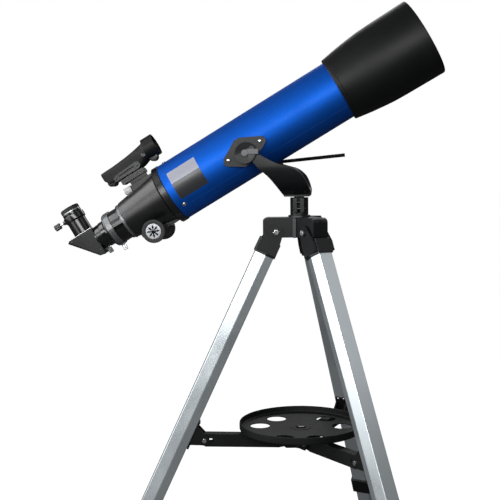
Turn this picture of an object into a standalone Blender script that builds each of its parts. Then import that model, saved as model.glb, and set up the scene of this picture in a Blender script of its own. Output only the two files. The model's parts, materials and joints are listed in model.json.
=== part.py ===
"""Refractor telescope on a yoke mount and a folding aluminium tripod.

Metres, +Z up. The tube's upright plane is XZ, with its front towards +X. The origin is the centre of the
footprint's box, on the floor. Three drawing frames are used:
  the tube's frame, +X forward along the optical axis, +Z across it in the upright plane;
  the mount's frame, upright, with its origin on the azimuth axis at the height of the leg hinges' datum;
  a leg's frame, with its origin on the hinge pin, -Z down the leg, +X outward and +Y along the pin.
"""

import math

import bmesh
import bpy
from mathutils import Matrix, Vector

GAP = 0.0003  # clearance between touching pieces

# Sides of round shapes, from the tube and the tray down to the pins
FINE = 40
ROUND = 32
SMALL = 20
TINY = 12

# Whole object
ALTITUDE = math.radians(30.66)  # tilt of the tube
DATUM_HEIGHT = 0.675  # mount frame's origin above the floor
AXIS_CROSSING = 0.1976  # height at which the optical axis crosses the azimuth axis
TUBE_ORIGIN_X = -0.094  # tube frame's origin in the mount frame

# Tube, dew shield and objective
TUBE_R = 0.055
TUBE_WALL = 0.0015
TUBE_REAR = -0.160
TUBE_FRONT = 0.222
SHIELD_REAR = 0.1925
SHIELD_FRONT = 0.3685
SHIELD_R = 0.0720
LENS_R = 0.051
CELL_R = 0.0585

# Focuser
CASTING_REAR = -0.2585
CASTING_R_REAR = 0.036
CASTING_R_FRONT = 0.049
CASTING_BORE = 0.034
DRAWTUBE_R = 0.0315
DRAWTUBE_WALL = 0.002
PINION_X = -0.2195
PINION_Z = -0.045
PINION_TEETH = 14
GEAR_MODULE = 0.0015
GEAR_BACKLASH = 0.0003
RACK_FRONT = -0.128
RACK_REAR = -0.268
RACK_HALF = 0.0045
SHAFT_R = 0.003
KNOB_R = 0.0215
KNOB_INNER = 0.036
KNOB_OUTER = 0.052
HOUSING_HALF = 0.0147
MOUNT_FACE_Z = -0.0365  # flat on the casting that carries the pinion housing

# Visual back
COLLAR_REAR = -0.300
ADAPTER_REAR = -0.3235
DRAWTUBE_SCREW_X = -0.2915
ADAPTER_SCREW_X = -0.3180
EYEPIECE_SCREW_Z = 0.0575
BARREL_R = 0.015875  # 1.25 inch eyepiece barrel
BARREL_BORE = 0.0162
DIAGONAL_HALF = 0.019
PRISM_LEG = 0.032
EYEPIECE_X = -0.345  # axis of the eyepiece
HOLDER_R = 0.0180

# Finder
FINDER_AXIS_Z = 0.0925
SHOE_SCREW_Z = 0.0465
HOOD_R = 0.0205
SIGHT_REAR_Z = 0.088

# Side brackets and yoke
PIVOT_X = -0.003  # altitude pivot in the tube's frame
PIVOT_Z = -0.0135
BRACKET_Z = -0.008  # centre of the bracket's plate
BRACKET_OUTER = 0.078
SLOT_FROM, SLOT_TO = -128, 38  # directions, in degrees, in which the yoke's arm can leave the bracket
YOKE_INNER = 0.061
YOKE_OUTER = 0.071
YOKE_FOOT_Z = 0.0505
YOKE_CENTRE_Z = 0.105  # below this height the arms curve in to the foot
YOKE_INNER_DEPTH = 0.0445
YOKE_OUTER_DEPTH = 0.0545
YOKE_FOOT_HALF = 0.0235
YOKE_TOP_Z = 0.154
STEM_R = 0.009
BOLT_R = 0.0035

# Slow-motion rod on the far side
ROD_Y = 0.090
ROD_R = 0.0035
ROD_LENGTH = 0.2725
ROD_PIVOT_X = -0.103
ROD_PIVOT_Z = 0.013
CLAMP_X = -0.045  # swivel clamp's pivot in the mount frame
CLAMP_SLOT_HALF = 0.0084

# Tripod
LEG_AZIMUTHS = tuple(math.radians(a) for a in (187.45, -52.55, 67.45))
SPLAY = math.radians(25.07)
HINGE_R = 0.0435
HINGE_Z = -0.0135
HEAD_TOP = 0.0125
HEAD_BOTTOM = -0.0235
HEAD_ARM_R = 0.066
HEAD_ARM_HALF = 0.016
PIN_R = 0.004
LEG_SECTION = ((0.020, 0.013), (0.0, 0.0187), (-0.0155, 0.0155))  # outward, half width
LEG_WALL = 0.0015
LEG_TOP = -0.020
COLLAR_TOP = -0.598
UPPER_LEG_END = -0.632
LOWER_LEG_TOP = -0.190
LOWER_LEG_END = -0.712
FOOT_TOP = -0.694
CAP_END = -0.038
LOCK_Z = -0.615

# Spreader and tray
SPREADER_Z = -0.4005
HUB_PIVOT_R = 0.028
BRACKET_DROP = 0.404  # spreader pin below the hinge pin, along the leg
BRACKET_INSET = -0.0395
ARM_TOP, ARM_BOTTOM = 0.012, -0.012  # above and below the arm's pivot
ARM_HALF = 0.009
ARM_SLOT = 0.0125  # free travel of the bracket's pin in the arm, as the legs fold
SPREADER_PIN_R = 0.0025
TRAY_R = 0.114
TRAY_RIM_Z = -0.365
TRAY_FLOOR_Z = -0.377
TRAY_HOLE_R = 0.0185
TRAY_HOLE_CIRCLE = 0.077
TRAY_HOLE_PAIR = math.radians(22)

FINISHES = {
    "blue_paint": ((0.004, 0.065, 0.42), 0.28, 0.55),
    "satin_black": ((0.012, 0.012, 0.013), 0.42, 0.0),
    "cast_black": ((0.020, 0.021, 0.023), 0.45, 0.1),
    "grey_metal": ((0.16, 0.165, 0.17), 0.38, 0.7),
    "silver": ((0.72, 0.73, 0.74), 0.25, 1.0),
    "leg_aluminium": ((0.62, 0.66, 0.68), 0.34, 0.9),
    "crown_glass": ((0.85, 0.93, 0.88), 0.03, 0.0),
    "finder_glass": ((0.50, 0.45, 0.08), 0.06, 0.3),
    "rubber": ((0.018, 0.018, 0.018), 0.75, 0.0),
    "brass": ((0.55, 0.40, 0.16), 0.35, 0.9),
}

origins = {}  # place of each empty in the drawing frame of the pieces that hang on it


def clear_scene():
    for thing in list(bpy.data.objects):
        bpy.data.objects.remove(thing, do_unlink=True)


def finish(name):
    made = bpy.data.materials.get(name)
    if made:
        return made
    colour, roughness, metallic = FINISHES[name]
    made = bpy.data.materials.new(name)
    made.use_nodes = True
    shader = made.node_tree.nodes["Principled BSDF"]
    shader.inputs["Base Color"].default_value = (*colour, 1.0)
    shader.inputs["Roughness"].default_value = roughness
    shader.inputs["Metallic"].default_value = metallic
    made.diffuse_color = (*colour, 1.0)
    return made


def own_finish(node_name, finish_name):
    made = finish(finish_name).copy()
    made.name = node_name
    return made


def empty(name, parent, at, rotation=(0.0, 0.0, 0.0), new_frame=False):
    """An empty at a point of its parent's drawing frame. Pieces on it are drawn in that same frame, or
    from the empty itself where it starts a frame of its own."""
    made = bpy.data.objects.new(name, None)
    made.empty_display_size = 0.03
    bpy.context.scene.collection.objects.link(made)
    made.parent = parent
    made.location = Vector(at) - origins.get(parent, Vector())
    made.rotation_euler = rotation
    origins[made] = Vector() if new_frame else Vector(at)
    return made


def as_object(name, mesh_data, parent):
    mesh = bpy.data.meshes.new(name)
    mesh_data.to_mesh(mesh)
    mesh_data.free()
    made = bpy.data.objects.new(name, mesh)
    bpy.context.scene.collection.objects.link(made)
    made.parent = parent
    made.location = -origins[parent]
    return made


def piece(name, mesh_data, parent, finish_name, add=(), cut=()):
    """A named sub-part: a mesh, the shapes fused to it and the shapes cut from it."""
    made = as_object(name, mesh_data, parent)
    made.data.materials.append(own_finish(name, finish_name))
    made.data.shade_smooth()
    made.data.set_sharp_from_angle(angle=math.radians(35))
    for operation, shapes in (("UNION", add), ("DIFFERENCE", cut)):
        for index, shape in enumerate(shapes):
            boolean(made, operation, shape, f"{name}_{operation.lower()}_{index + 1}")
    return made


def boolean(made, operation, shape, helper_name):
    helper = as_object(helper_name, shape, made.parent)
    helper.hide_render = True
    helper.display_type = "WIRE"
    modifier = made.modifiers.new(helper_name, "BOOLEAN")
    modifier.operation = operation
    modifier.solver = "EXACT"
    modifier.object = helper


def loft(rings, closed=False):
    """Joins rings of equally many points, in order, and caps the two ends or joins them to each other."""
    mesh_data = bmesh.new()
    made = [[mesh_data.verts.new(point) for point in ring] for ring in rings]
    pairs = list(zip(made, made[1:]))
    if closed:
        pairs.append((made[-1], made[0]))
    else:
        mesh_data.faces.new(made[0])
        mesh_data.faces.new(made[-1])
    for first, second in pairs:
        for i in range(len(first)):
            j = (i + 1) % len(first)
            mesh_data.faces.new((first[i], first[j], second[j], second[i]))
    bmesh.ops.recalc_face_normals(mesh_data, faces=mesh_data.faces)
    if mesh_data.calc_volume(signed=True) < 0:
        bmesh.ops.reverse_faces(mesh_data, faces=mesh_data.faces)
    return mesh_data


def placed(axis, along, p, q):
    """A point given along an axis, X, Y or Z, and across it in the order of the other two."""
    return {"X": Vector((along, p, q)), "Y": Vector((p, along, q)), "Z": Vector((p, q, along))}[axis]


def circle(count, radius=1.0, centre=(0.0, 0.0)):
    turns = [2 * math.pi * i / count for i in range(count)]
    return [(centre[0] + radius * math.cos(t), centre[1] + radius * math.sin(t)) for t in turns]


def turned(axis, profile, count, centre=(0.0, 0.0), hollow=False):
    """A profile of (along, radius) points turned about an axis through a centre."""
    rings = [
        [placed(axis, along, p, q) for p, q in circle(count, radius, centre)] for along, radius in profile
    ]
    return loft(rings, closed=hollow)


def rod(axis, low, high, radius, count, centre=(0.0, 0.0)):
    return turned(axis, ((low, radius), (high, radius)), count, centre)


def pipe(axis, low, high, inner, outer, count, centre=(0.0, 0.0)):
    profile = ((low, inner), (low, outer), (high, outer), (high, inner))
    return turned(axis, profile, count, centre, hollow=True)


def prism(axis, low, high, outline):
    return loft([[placed(axis, along, p, q) for p, q in outline] for along in (low, high)])


def block(x, y, z):
    return prism("Z", z[0], z[1], ((x[0], y[0]), (x[1], y[0]), (x[1], y[1]), (x[0], y[1])))


def arc(centre, radius, start, end, steps):
    """Points on a circle from one angle to another, in degrees, ends included."""
    turns = [math.radians(start + (end - start) * i / steps) for i in range(steps + 1)]
    return [(centre[0] + radius * math.cos(t), centre[1] + radius * math.sin(t)) for t in turns]


def blend(points, steps):
    """A smooth curve through the points, as a Catmull-Rom spline with straight ends."""
    padded = [points[0], *points, points[-1]]
    curve = []
    for a, b, c, d in zip(padded, padded[1:], padded[2:], padded[3:]):
        for i in range(steps):
            t = i / steps
            curve.append(tuple(
                0.5 * (2 * q + (r - p) * t + (2 * p - 5 * q + 4 * r - s) * t**2 + (3 * q - p - 3 * r + s) * t**3)
                for p, q, r, s in zip(a, b, c, d)
            ))
    return curve + [points[-1]]


def mirrored(mesh_data, y=1.0):
    """The mesh mirrored across the upright plane where y is -1."""
    for vertex in mesh_data.verts:
        vertex.co.y *= y
    if y < 0:
        bmesh.ops.reverse_faces(mesh_data, faces=mesh_data.faces)
    return mesh_data


def tilted(mesh_data, axis, angle, about):
    """The mesh turned about a line along X, Y or Z through a point."""
    centre = Vector(about)
    turn = Matrix.Rotation(angle, 3, axis)
    for vertex in mesh_data.verts:
        vertex.co = centre + turn @ (vertex.co - centre)
    return mesh_data


def build_tube(tube):
    piece("optical_tube", pipe("X", TUBE_REAR, TUBE_FRONT, TUBE_R - TUBE_WALL, TUBE_R, FINE), tube, "blue_paint")

    outer = ((SHIELD_REAR, 0.0590), (0.1940, 0.0602), (0.226, 0.0652), (0.247, 0.0677), (0.268, 0.0697),
             (0.290, 0.0706), (SHIELD_FRONT, SHIELD_R))
    inner = ((SHIELD_FRONT, 0.0695), (0.290, 0.0680), (0.247, 0.0651), (0.210, 0.0603), (0.208, TUBE_R + GAP),
             (SHIELD_REAR, TUBE_R + GAP))
    piece("dew_shield", turned("X", outer + inner, FINE, hollow=True), tube, "satin_black")

    spigot = TUBE_R - TUBE_WALL - GAP
    seat, lip = 0.2330, 0.2460
    cell = ((0.204, spigot), (TUBE_FRONT + GAP, spigot), (TUBE_FRONT + GAP, CELL_R), (0.252, CELL_R),
            (0.252, 0.049), (lip, 0.049), (lip, LENS_R + GAP), (seat, LENS_R + GAP), (seat, 0.049), (0.204, 0.049))
    piece("objective_cell", turned("X", cell, ROUND, hollow=True), tube, "satin_black")
    piece("flint_lens", lens(0.2334, -0.0011, 0.2405, -0.0052, LENS_R), tube, "crown_glass")
    piece("crown_lens", lens(0.2408, -0.0050, 0.2453, 0.0036, LENS_R), tube, "crown_glass")


def lens(rear, rear_bulge, front, front_bulge, radius, axis="X", centre=(0.0, 0.0), count=ROUND):
    """A lens between two edges, each face bulging along +X or, where negative, -X at its centre."""
    steps = (0.12, 0.45, 0.75, 1.0)
    rear_face = [(rear + rear_bulge * (1 - s * s), s * radius) for s in steps]
    front_face = [(front + front_bulge * (1 - s * s), s * radius) for s in reversed(steps)]
    return turned(axis, rear_face + front_face, count, centre)


def build_focuser(tube):
    spigot = TUBE_R - TUBE_WALL - 0.0004
    profile = ((-0.140, spigot), (TUBE_REAR - GAP, spigot), (TUBE_REAR - GAP, 0.056), (-0.1728, 0.056),
               (-0.1728, 0.0475), (-0.1743, 0.0475), (-0.1743, CASTING_R_FRONT), (CASTING_REAR, CASTING_R_REAR),
               (CASTING_REAR, CASTING_BORE), (-0.194, CASTING_BORE), (-0.172, 0.045), (-0.140, 0.049))
    shoe = block((-0.2207, -0.1710), (-0.016, 0.016), (0.036, 0.050))
    screw_hole = rod("X", -0.2240, -0.2107, 0.0023, TINY, (0.0, SHOE_SCREW_Z))
    scallop = rod("X", -0.262, -0.2229, 0.0073, SMALL, (0.0, SHOE_SCREW_Z))
    seat = block((-0.2505, -0.176), (-HOUSING_HALF - GAP, HOUSING_HALF + GAP), (-0.070, MOUNT_FACE_Z))
    channel = block((-0.275, -0.180), (-0.0052, 0.0052), (-0.0361, -0.029))
    opening = block((PINION_X - 0.0125, PINION_X + 0.0125), (-0.0065, 0.0065), (-0.045, -0.028))
    piece("focuser_casting", turned("X", profile, FINE, hollow=True), tube, "cast_black",
          add=(shoe,), cut=(screw_hole, scallop, seat, channel, opening))

    sleeve = CASTING_BORE - GAP
    flange_face = CASTING_REAR - GAP
    bore = DRAWTUBE_R + GAP
    bush = ((-0.196, bore), (-0.196, sleeve), (flange_face, sleeve), (flange_face, 0.0345),
            (-0.266, 0.0345), (-0.266, bore))
    notch = block((-0.272, -0.190), (-0.0052, 0.0052), (-0.040, -0.029))
    wide_notch = block((PINION_X - 0.0125, PINION_X + 0.0125), (-0.0065, 0.0065), (-0.041, -0.028))
    piece("drawtube_bush", turned("X", bush, ROUND, hollow=True), tube, "grey_metal", cut=(notch, wide_notch))

    boss = 0.0155
    top = MOUNT_FACE_Z - GAP
    outline = ((-0.2500, top), (-0.2500, -0.0430), (PINION_X - boss, PINION_Z),
               *arc((PINION_X, PINION_Z), boss, 200, 320, 8), (-0.2000, -0.0500), (-0.1765, -0.0490),
               (-0.1765, top))
    chamber = rod("Y", -0.0062, 0.0062, 0.0123, SMALL, (PINION_X, PINION_Z))
    throat = block((PINION_X - 0.0122, PINION_X + 0.0122), (-0.0062, 0.0062), (PINION_Z, -0.030))
    shaft_bore = rod("Y", -0.020, 0.020, SHAFT_R + GAP, TINY, (PINION_X, PINION_Z))
    piece("pinion_housing", prism("Y", -HOUSING_HALF, HOUSING_HALF, outline), tube, "cast_black",
          cut=(chamber, throat, shaft_bore))


def build_drawtube(slide):
    inner = DRAWTUBE_R - DRAWTUBE_WALL
    profile = ((-0.126, inner), (-0.126, DRAWTUBE_R), (-0.2847, DRAWTUBE_R), (-0.2847, 0.0299),
               (-0.2970, 0.0299), (-0.2970, 0.0277), (-0.283, 0.0277), (-0.283, inner))
    screw_hole = rod("Z", -0.036, -0.024, 0.0023, TINY, (DRAWTUBE_SCREW_X, 0.0))
    piece("drawtube", turned("X", profile, ROUND, hollow=True), slide, "satin_black",
          add=(rack(),), cut=(screw_hole,))

    collar = ((-0.285, 0.0302), (-0.285, 0.0335), (-0.2955, 0.0335), (-0.2960, 0.0310), (COLLAR_REAR, 0.0300),
              (COLLAR_REAR, 0.0228), (-0.2974, 0.0228), (-0.2974, 0.0302))
    screw_hole = rod("Z", -0.036, -0.024, 0.0023, TINY, (DRAWTUBE_SCREW_X, 0.0))
    piece("drawtube_collar", turned("X", collar, ROUND, hollow=True), slide, "grey_metal", cut=(screw_hole,))

    adapter = ((-0.286, BARREL_BORE), (-0.286, 0.0224), (COLLAR_REAR - GAP, 0.0224), (COLLAR_REAR - GAP, 0.0240),
               (-0.3030, 0.0245), (-0.3125, 0.0240), (ADAPTER_REAR, 0.0222), (ADAPTER_REAR, BARREL_BORE))
    screw_hole = rod("Z", -0.030, -0.010, 0.0021, TINY, (ADAPTER_SCREW_X, 0.0))
    piece("eyepiece_adapter", turned("X", adapter, ROUND, hollow=True), slide, "satin_black", cut=(screw_hole,))


def rack():
    """Straight teeth on the drawtube's underside, in mesh with the pinion at rest."""
    pitch = math.pi * GEAR_MODULE
    pitch_line = PINION_Z + GEAR_MODULE * PINION_TEETH / 2
    tip, root = pitch_line - 0.8 * GEAR_MODULE, pitch_line + 0.93 * GEAR_MODULE
    slope = math.tan(math.radians(20))
    half = pitch / 4 - GEAR_BACKLASH / 2
    rearmost = math.ceil((RACK_REAR + pitch / 2 - PINION_X) / pitch)
    foremost = math.floor((RACK_FRONT - pitch / 2 - PINION_X) / pitch)
    outline = [(RACK_FRONT, root), (RACK_FRONT, -0.0305), (RACK_REAR, -0.0305), (RACK_REAR, root)]
    for tooth in range(rearmost, foremost + 1):
        middle = PINION_X + tooth * pitch
        foot = half + slope * (root - pitch_line)
        crest = half - slope * (pitch_line - tip)
        outline += [(middle - foot, root), (middle - crest, tip), (middle + crest, tip), (middle + foot, root)]
    return prism("Y", -RACK_HALF, RACK_HALF, outline)


def pinion_outline():
    """A spur gear's outline with involute flanks, a gap facing straight up to the rack."""
    pitch_r = GEAR_MODULE * PINION_TEETH / 2
    base_r = pitch_r * math.cos(math.radians(20))
    tip_r, root_r = pitch_r + 0.8 * GEAR_MODULE, pitch_r - 0.95 * GEAR_MODULE
    at_pitch = math.sqrt((pitch_r / base_r) ** 2 - 1)
    half = math.pi / (2 * PINION_TEETH) - GEAR_BACKLASH / (2 * pitch_r)
    flank = []
    for step in range(4):
        radius = base_r + (tip_r - base_r) * step / 3
        turn = math.sqrt((radius / base_r) ** 2 - 1)
        spread = (at_pitch - math.atan(at_pitch)) - (turn - math.atan(turn))
        flank.append((radius, half + spread))
    flank.insert(0, (root_r, flank[0][1]))
    outline = []
    for tooth in range(PINION_TEETH):
        middle = math.pi / 2 + (tooth + 0.5) * 2 * math.pi / PINION_TEETH
        for radius, spread in flank:
            outline.append((radius * math.cos(middle - spread), radius * math.sin(middle - spread)))
        for radius, spread in reversed(flank):
            outline.append((radius * math.cos(middle + spread), radius * math.sin(middle + spread)))
    return [(PINION_X + p, PINION_Z + q) for p, q in outline]


def build_focus_drive(spin):
    centre = (PINION_X, PINION_Z)
    shaft = rod("Y", -KNOB_OUTER + 0.0024, KNOB_OUTER - 0.0024, SHAFT_R, TINY, centre)
    piece("pinion_shaft", shaft, spin, "brass", add=(prism("Y", -0.0055, 0.0055, pinion_outline()),))
    bore = SHAFT_R + GAP
    boss_in, boss_r = 0.0225, 0.008
    profile = ((KNOB_OUTER - 0.0021, bore), (boss_in, bore), (boss_in, boss_r), (KNOB_INNER, boss_r),
               (KNOB_INNER, KNOB_R - 0.001), (KNOB_INNER + 0.001, KNOB_R), (KNOB_OUTER - 0.001, KNOB_R),
               (KNOB_OUTER, KNOB_R - 0.001), (KNOB_OUTER, 0.0145), (KNOB_OUTER - 0.001, 0.0140))
    for side, name in ((-1, "focus_knob_left"), (1, "focus_knob_right")):
        along = [(side * y, radius) for y, radius in profile]
        piece(name, turned("Y", along, ROUND, centre), spin, "satin_black")


def thumbscrew(axis, shank, neck, end, centre, shank_r, head_r):
    """Shank, neck and end are places along the axis: the tip, the head's near face and its far face."""
    edge = 0.0006 if end > neck else -0.0006
    profile = ((shank, shank_r), (neck, shank_r), (neck, head_r - 0.0006), (neck + edge, head_r),
               (end - edge, head_r), (end, head_r - 0.0006))
    return turned(axis, profile, TINY, centre)


def build_screws(pivots):
    piece("shoe_screw", thumbscrew("X", -0.2110, -0.2232, -0.2380, (0.0, SHOE_SCREW_Z), 0.0020, 0.0065),
          pivots["shoe_screw"], "silver")
    piece("drawtube_screw", thumbscrew("Z", -0.0228, -0.0342, -0.0445, (DRAWTUBE_SCREW_X, 0.0), 0.0020, 0.0038),
          pivots["drawtube_screw"], "silver")
    piece("adapter_screw", thumbscrew("Z", -0.0163, -0.0248, -0.0350, (ADAPTER_SCREW_X, 0.0), 0.0018, 0.0045),
          pivots["adapter_screw"], "grey_metal")
    piece("eyepiece_screw",
          thumbscrew("X", EYEPIECE_X - BARREL_R - GAP, -0.3765, -0.3880, (0.0, EYEPIECE_SCREW_Z), 0.0020, 0.0060),
          pivots["eyepiece_screw"], "satin_black")


def build_diagonal(turn, slide):
    front, top = ADAPTER_REAR - GAP, 0.0226
    outline = ((front, top), (-0.3690, top), (-0.3800, 0.0150), (-0.3330, -0.0295), (front, -0.0295))
    nose = rod("X", front - 0.001, -0.2985, BARREL_R, ROUND)
    half = PRISM_LEG / 2
    wall = EYEPIECE_X + half
    pocket = prism("Y", -half, half, ((wall, half + GAP), (wall, -half - 0.001),
                                      (wall - PRISM_LEG - 0.001, half + GAP)))
    front_bore = rod("X", wall - 0.001, -0.295, 0.0135, ROUND)
    top_bore = rod("Z", half, 0.030, 0.0140, ROUND, (EYEPIECE_X, 0.0))
    seat = rod("Z", 0.0190, 0.030, 0.0173, ROUND, (EYEPIECE_X, 0.0))
    piece("diagonal_housing", prism("Y", -DIAGONAL_HALF, DIAGONAL_HALF, outline), turn, "cast_black",
          add=(nose,), cut=(pocket, front_bore, top_bore, seat))

    face = wall - GAP
    prism_outline = ((face, half), (face, -half), (face - PRISM_LEG, half))
    piece("diagonal_prism", prism("Y", -half + GAP, half - GAP, prism_outline), turn, "crown_glass")

    floor = top + GAP
    barrel = ((0.0193, 0.0142), (0.0193, 0.0170), (floor, 0.0170), (floor, HOLDER_R), (0.0500, HOLDER_R),
              (0.0520, 0.0203), (0.0625, 0.0203), (0.0630, 0.0198), (0.0630, BARREL_BORE), (0.0260, BARREL_BORE),
              (0.0240, 0.0142))
    screw_hole = rod("X", -0.373, -0.354, 0.0023, TINY, (0.0, EYEPIECE_SCREW_Z))
    piece("diagonal_barrel", turned("Z", barrel, ROUND, (EYEPIECE_X, 0.0), hollow=True), turn, "satin_black",
          cut=(screw_hole,))

    eyepiece = ((0.0300, 0.0145), (0.0300, BARREL_R), (0.0633, BARREL_R), (0.0633, 0.0178), (0.0645, 0.0183),
                (0.0765, 0.0183), (0.0780, 0.0168), (0.0780, 0.0125), (0.0725, 0.0115), (0.0665, 0.0115),
                (0.0665, 0.0090), (0.0640, 0.0090), (0.0620, 0.0145))
    piece("eyepiece", turned("Z", eyepiece, ROUND, (EYEPIECE_X, 0.0), hollow=True), slide, "satin_black")
    piece("eyepiece_lens", lens(0.0668, 0.0, 0.0690, 0.0022, 0.0112, "Z", (EYEPIECE_X, 0.0), SMALL), slide,
          "crown_glass")


def build_finder(tube):
    foot = block((-0.2315, -0.1840), (-0.0135, 0.0135), (0.0585, 0.0680))
    neck = block((-0.2187, -0.1860), (-0.010, 0.010), (0.0503, 0.0600))
    piece("finder_foot", foot, tube, "cast_black", add=(neck,))

    def section(x, low, high, half, roundness, count=SMALL):
        """A rounded upright section: 0 is square-cornered, 1 is an ellipse."""
        middle, tall = (low + high) / 2, (high - low) / 2
        ring = []
        for turn in (2 * math.pi * (i + 0.5) / count for i in range(count)):
            c, s = math.cos(turn), math.sin(turn)
            reach = (abs(c) ** (2 + 6 * (1 - roundness)) + abs(s) ** (2 + 6 * (1 - roundness)))
            reach = reach ** (-1 / (2 + 6 * (1 - roundness)))
            ring.append(Vector((x, half * c * reach, middle + tall * s * reach)))
        return ring

    body = loft([
        section(-0.258, 0.0805, 0.0985, 0.0130, 0.2), section(-0.250, 0.0700, 0.0990, 0.0145, 0.1),
        section(-0.200, 0.0683, 0.1024, 0.0150, 0.1), section(-0.184, 0.0683, 0.1045, 0.0160, 0.5),
        section(-0.166, 0.0730, 0.1075, 0.0180, 1.0), section(-0.158, 0.0730, 0.1110, 0.0190, 1.0),
    ])
    hood = rod("X", -0.1630, -0.1410, HOOD_R, ROUND, (0.0, FINDER_AXIS_Z))
    wheel = rod("Y", -0.0125, 0.0125, 0.0070, TINY, (-0.2475, 0.0735))
    adjuster = rod("Y", -0.0090, 0.0090, 0.0075, TINY, (-0.1570, 0.0740))
    sight = turned("X", ((-0.262, 0.0045), (-0.163, 0.0130), (-0.1545, 0.0160), (-0.1545, 0.0180),
                         (-0.138, 0.0180)), SMALL, (0.0, SIGHT_REAR_Z))
    for vertex in sight.verts:
        if vertex.co.x > -0.168:
            vertex.co.z += FINDER_AXIS_Z - SIGHT_REAR_Z
    piece("finder_body", body, tube, "satin_black", add=(hood, wheel, adjuster), cut=(sight,))
    piece("finder_window", lens(-0.1525, 0.0, -0.1505, 0.0008, 0.0177, "X", (0.0, FINDER_AXIS_Z), SMALL), tube,
          "finder_glass")


def build_brackets(tube):
    middle = PIVOT_X - 0.001
    diamond = [(middle + x, BRACKET_Z + z) for x, z in
               ((-0.043, -0.004), (-0.039, 0.006), (-0.006, 0.0245), (0.004, 0.0245), (0.042, 0.005),
                (0.043, -0.005), (0.032, -0.012), (-0.004, -0.0255), (-0.012, -0.0255), (-0.039, -0.009))]
    slot_half = (YOKE_OUTER - YOKE_INNER) / 2 + GAP
    slot_y = (YOKE_OUTER + YOKE_INNER) / 2
    pivot = (PIVOT_X, PIVOT_Z)
    for side, name in ((-1, "bracket_left"), (1, "bracket_right")):
        plate = mirrored(prism("Y", 0.044, 0.0585, diamond), side)
        boss = mirrored(rod("Y", 0.050, BRACKET_OUTER, 0.0185, ROUND, pivot), side)
        saddle = rod("X", -0.060, 0.060, TUBE_R + GAP, FINE)
        slot_round = mirrored(rod("Y", slot_y - slot_half, slot_y + slot_half, 0.0128, SMALL, pivot), side)
        slot_open = prism("Y", slot_y - slot_half, slot_y + slot_half,
                          [pivot] + arc(pivot, 0.036, SLOT_FROM, SLOT_TO, 8))
        bolt_hole = rod("Y", -0.100, 0.100, BOLT_R + GAP, TINY, pivot)
        bevel = block((PIVOT_X - 0.030, PIVOT_X + 0.030), (0.0, 0.030), (PIVOT_Z, PIVOT_Z + 0.050))
        bevel = tilted(bevel, "X", math.radians(28), (0.0, 0.0, PIVOT_Z))
        for vertex in bevel.verts:
            vertex.co.y += BRACKET_OUTER + 0.002
        piece(name, plate, tube, "cast_black", add=(boss,),
              cut=(saddle, slot_round, mirrored(slot_open, side), bolt_hole, mirrored(bevel, side)))

    anchor = rod("Y", 0.048, 0.0625, 0.0095, SMALL, (ROD_PIVOT_X, ROD_PIVOT_Z))
    post = turned("Y", ((0.060, 0.0040), (0.0969, 0.0040), (0.0969, 0.0065), (0.0990, 0.0065)), TINY,
                  (ROD_PIVOT_X, ROD_PIVOT_Z))
    saddle = rod("X", -0.130, -0.080, TUBE_R + GAP, FINE)
    piece("rod_anchor", anchor, tube, "satin_black", add=(post,), cut=(saddle,))


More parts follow.
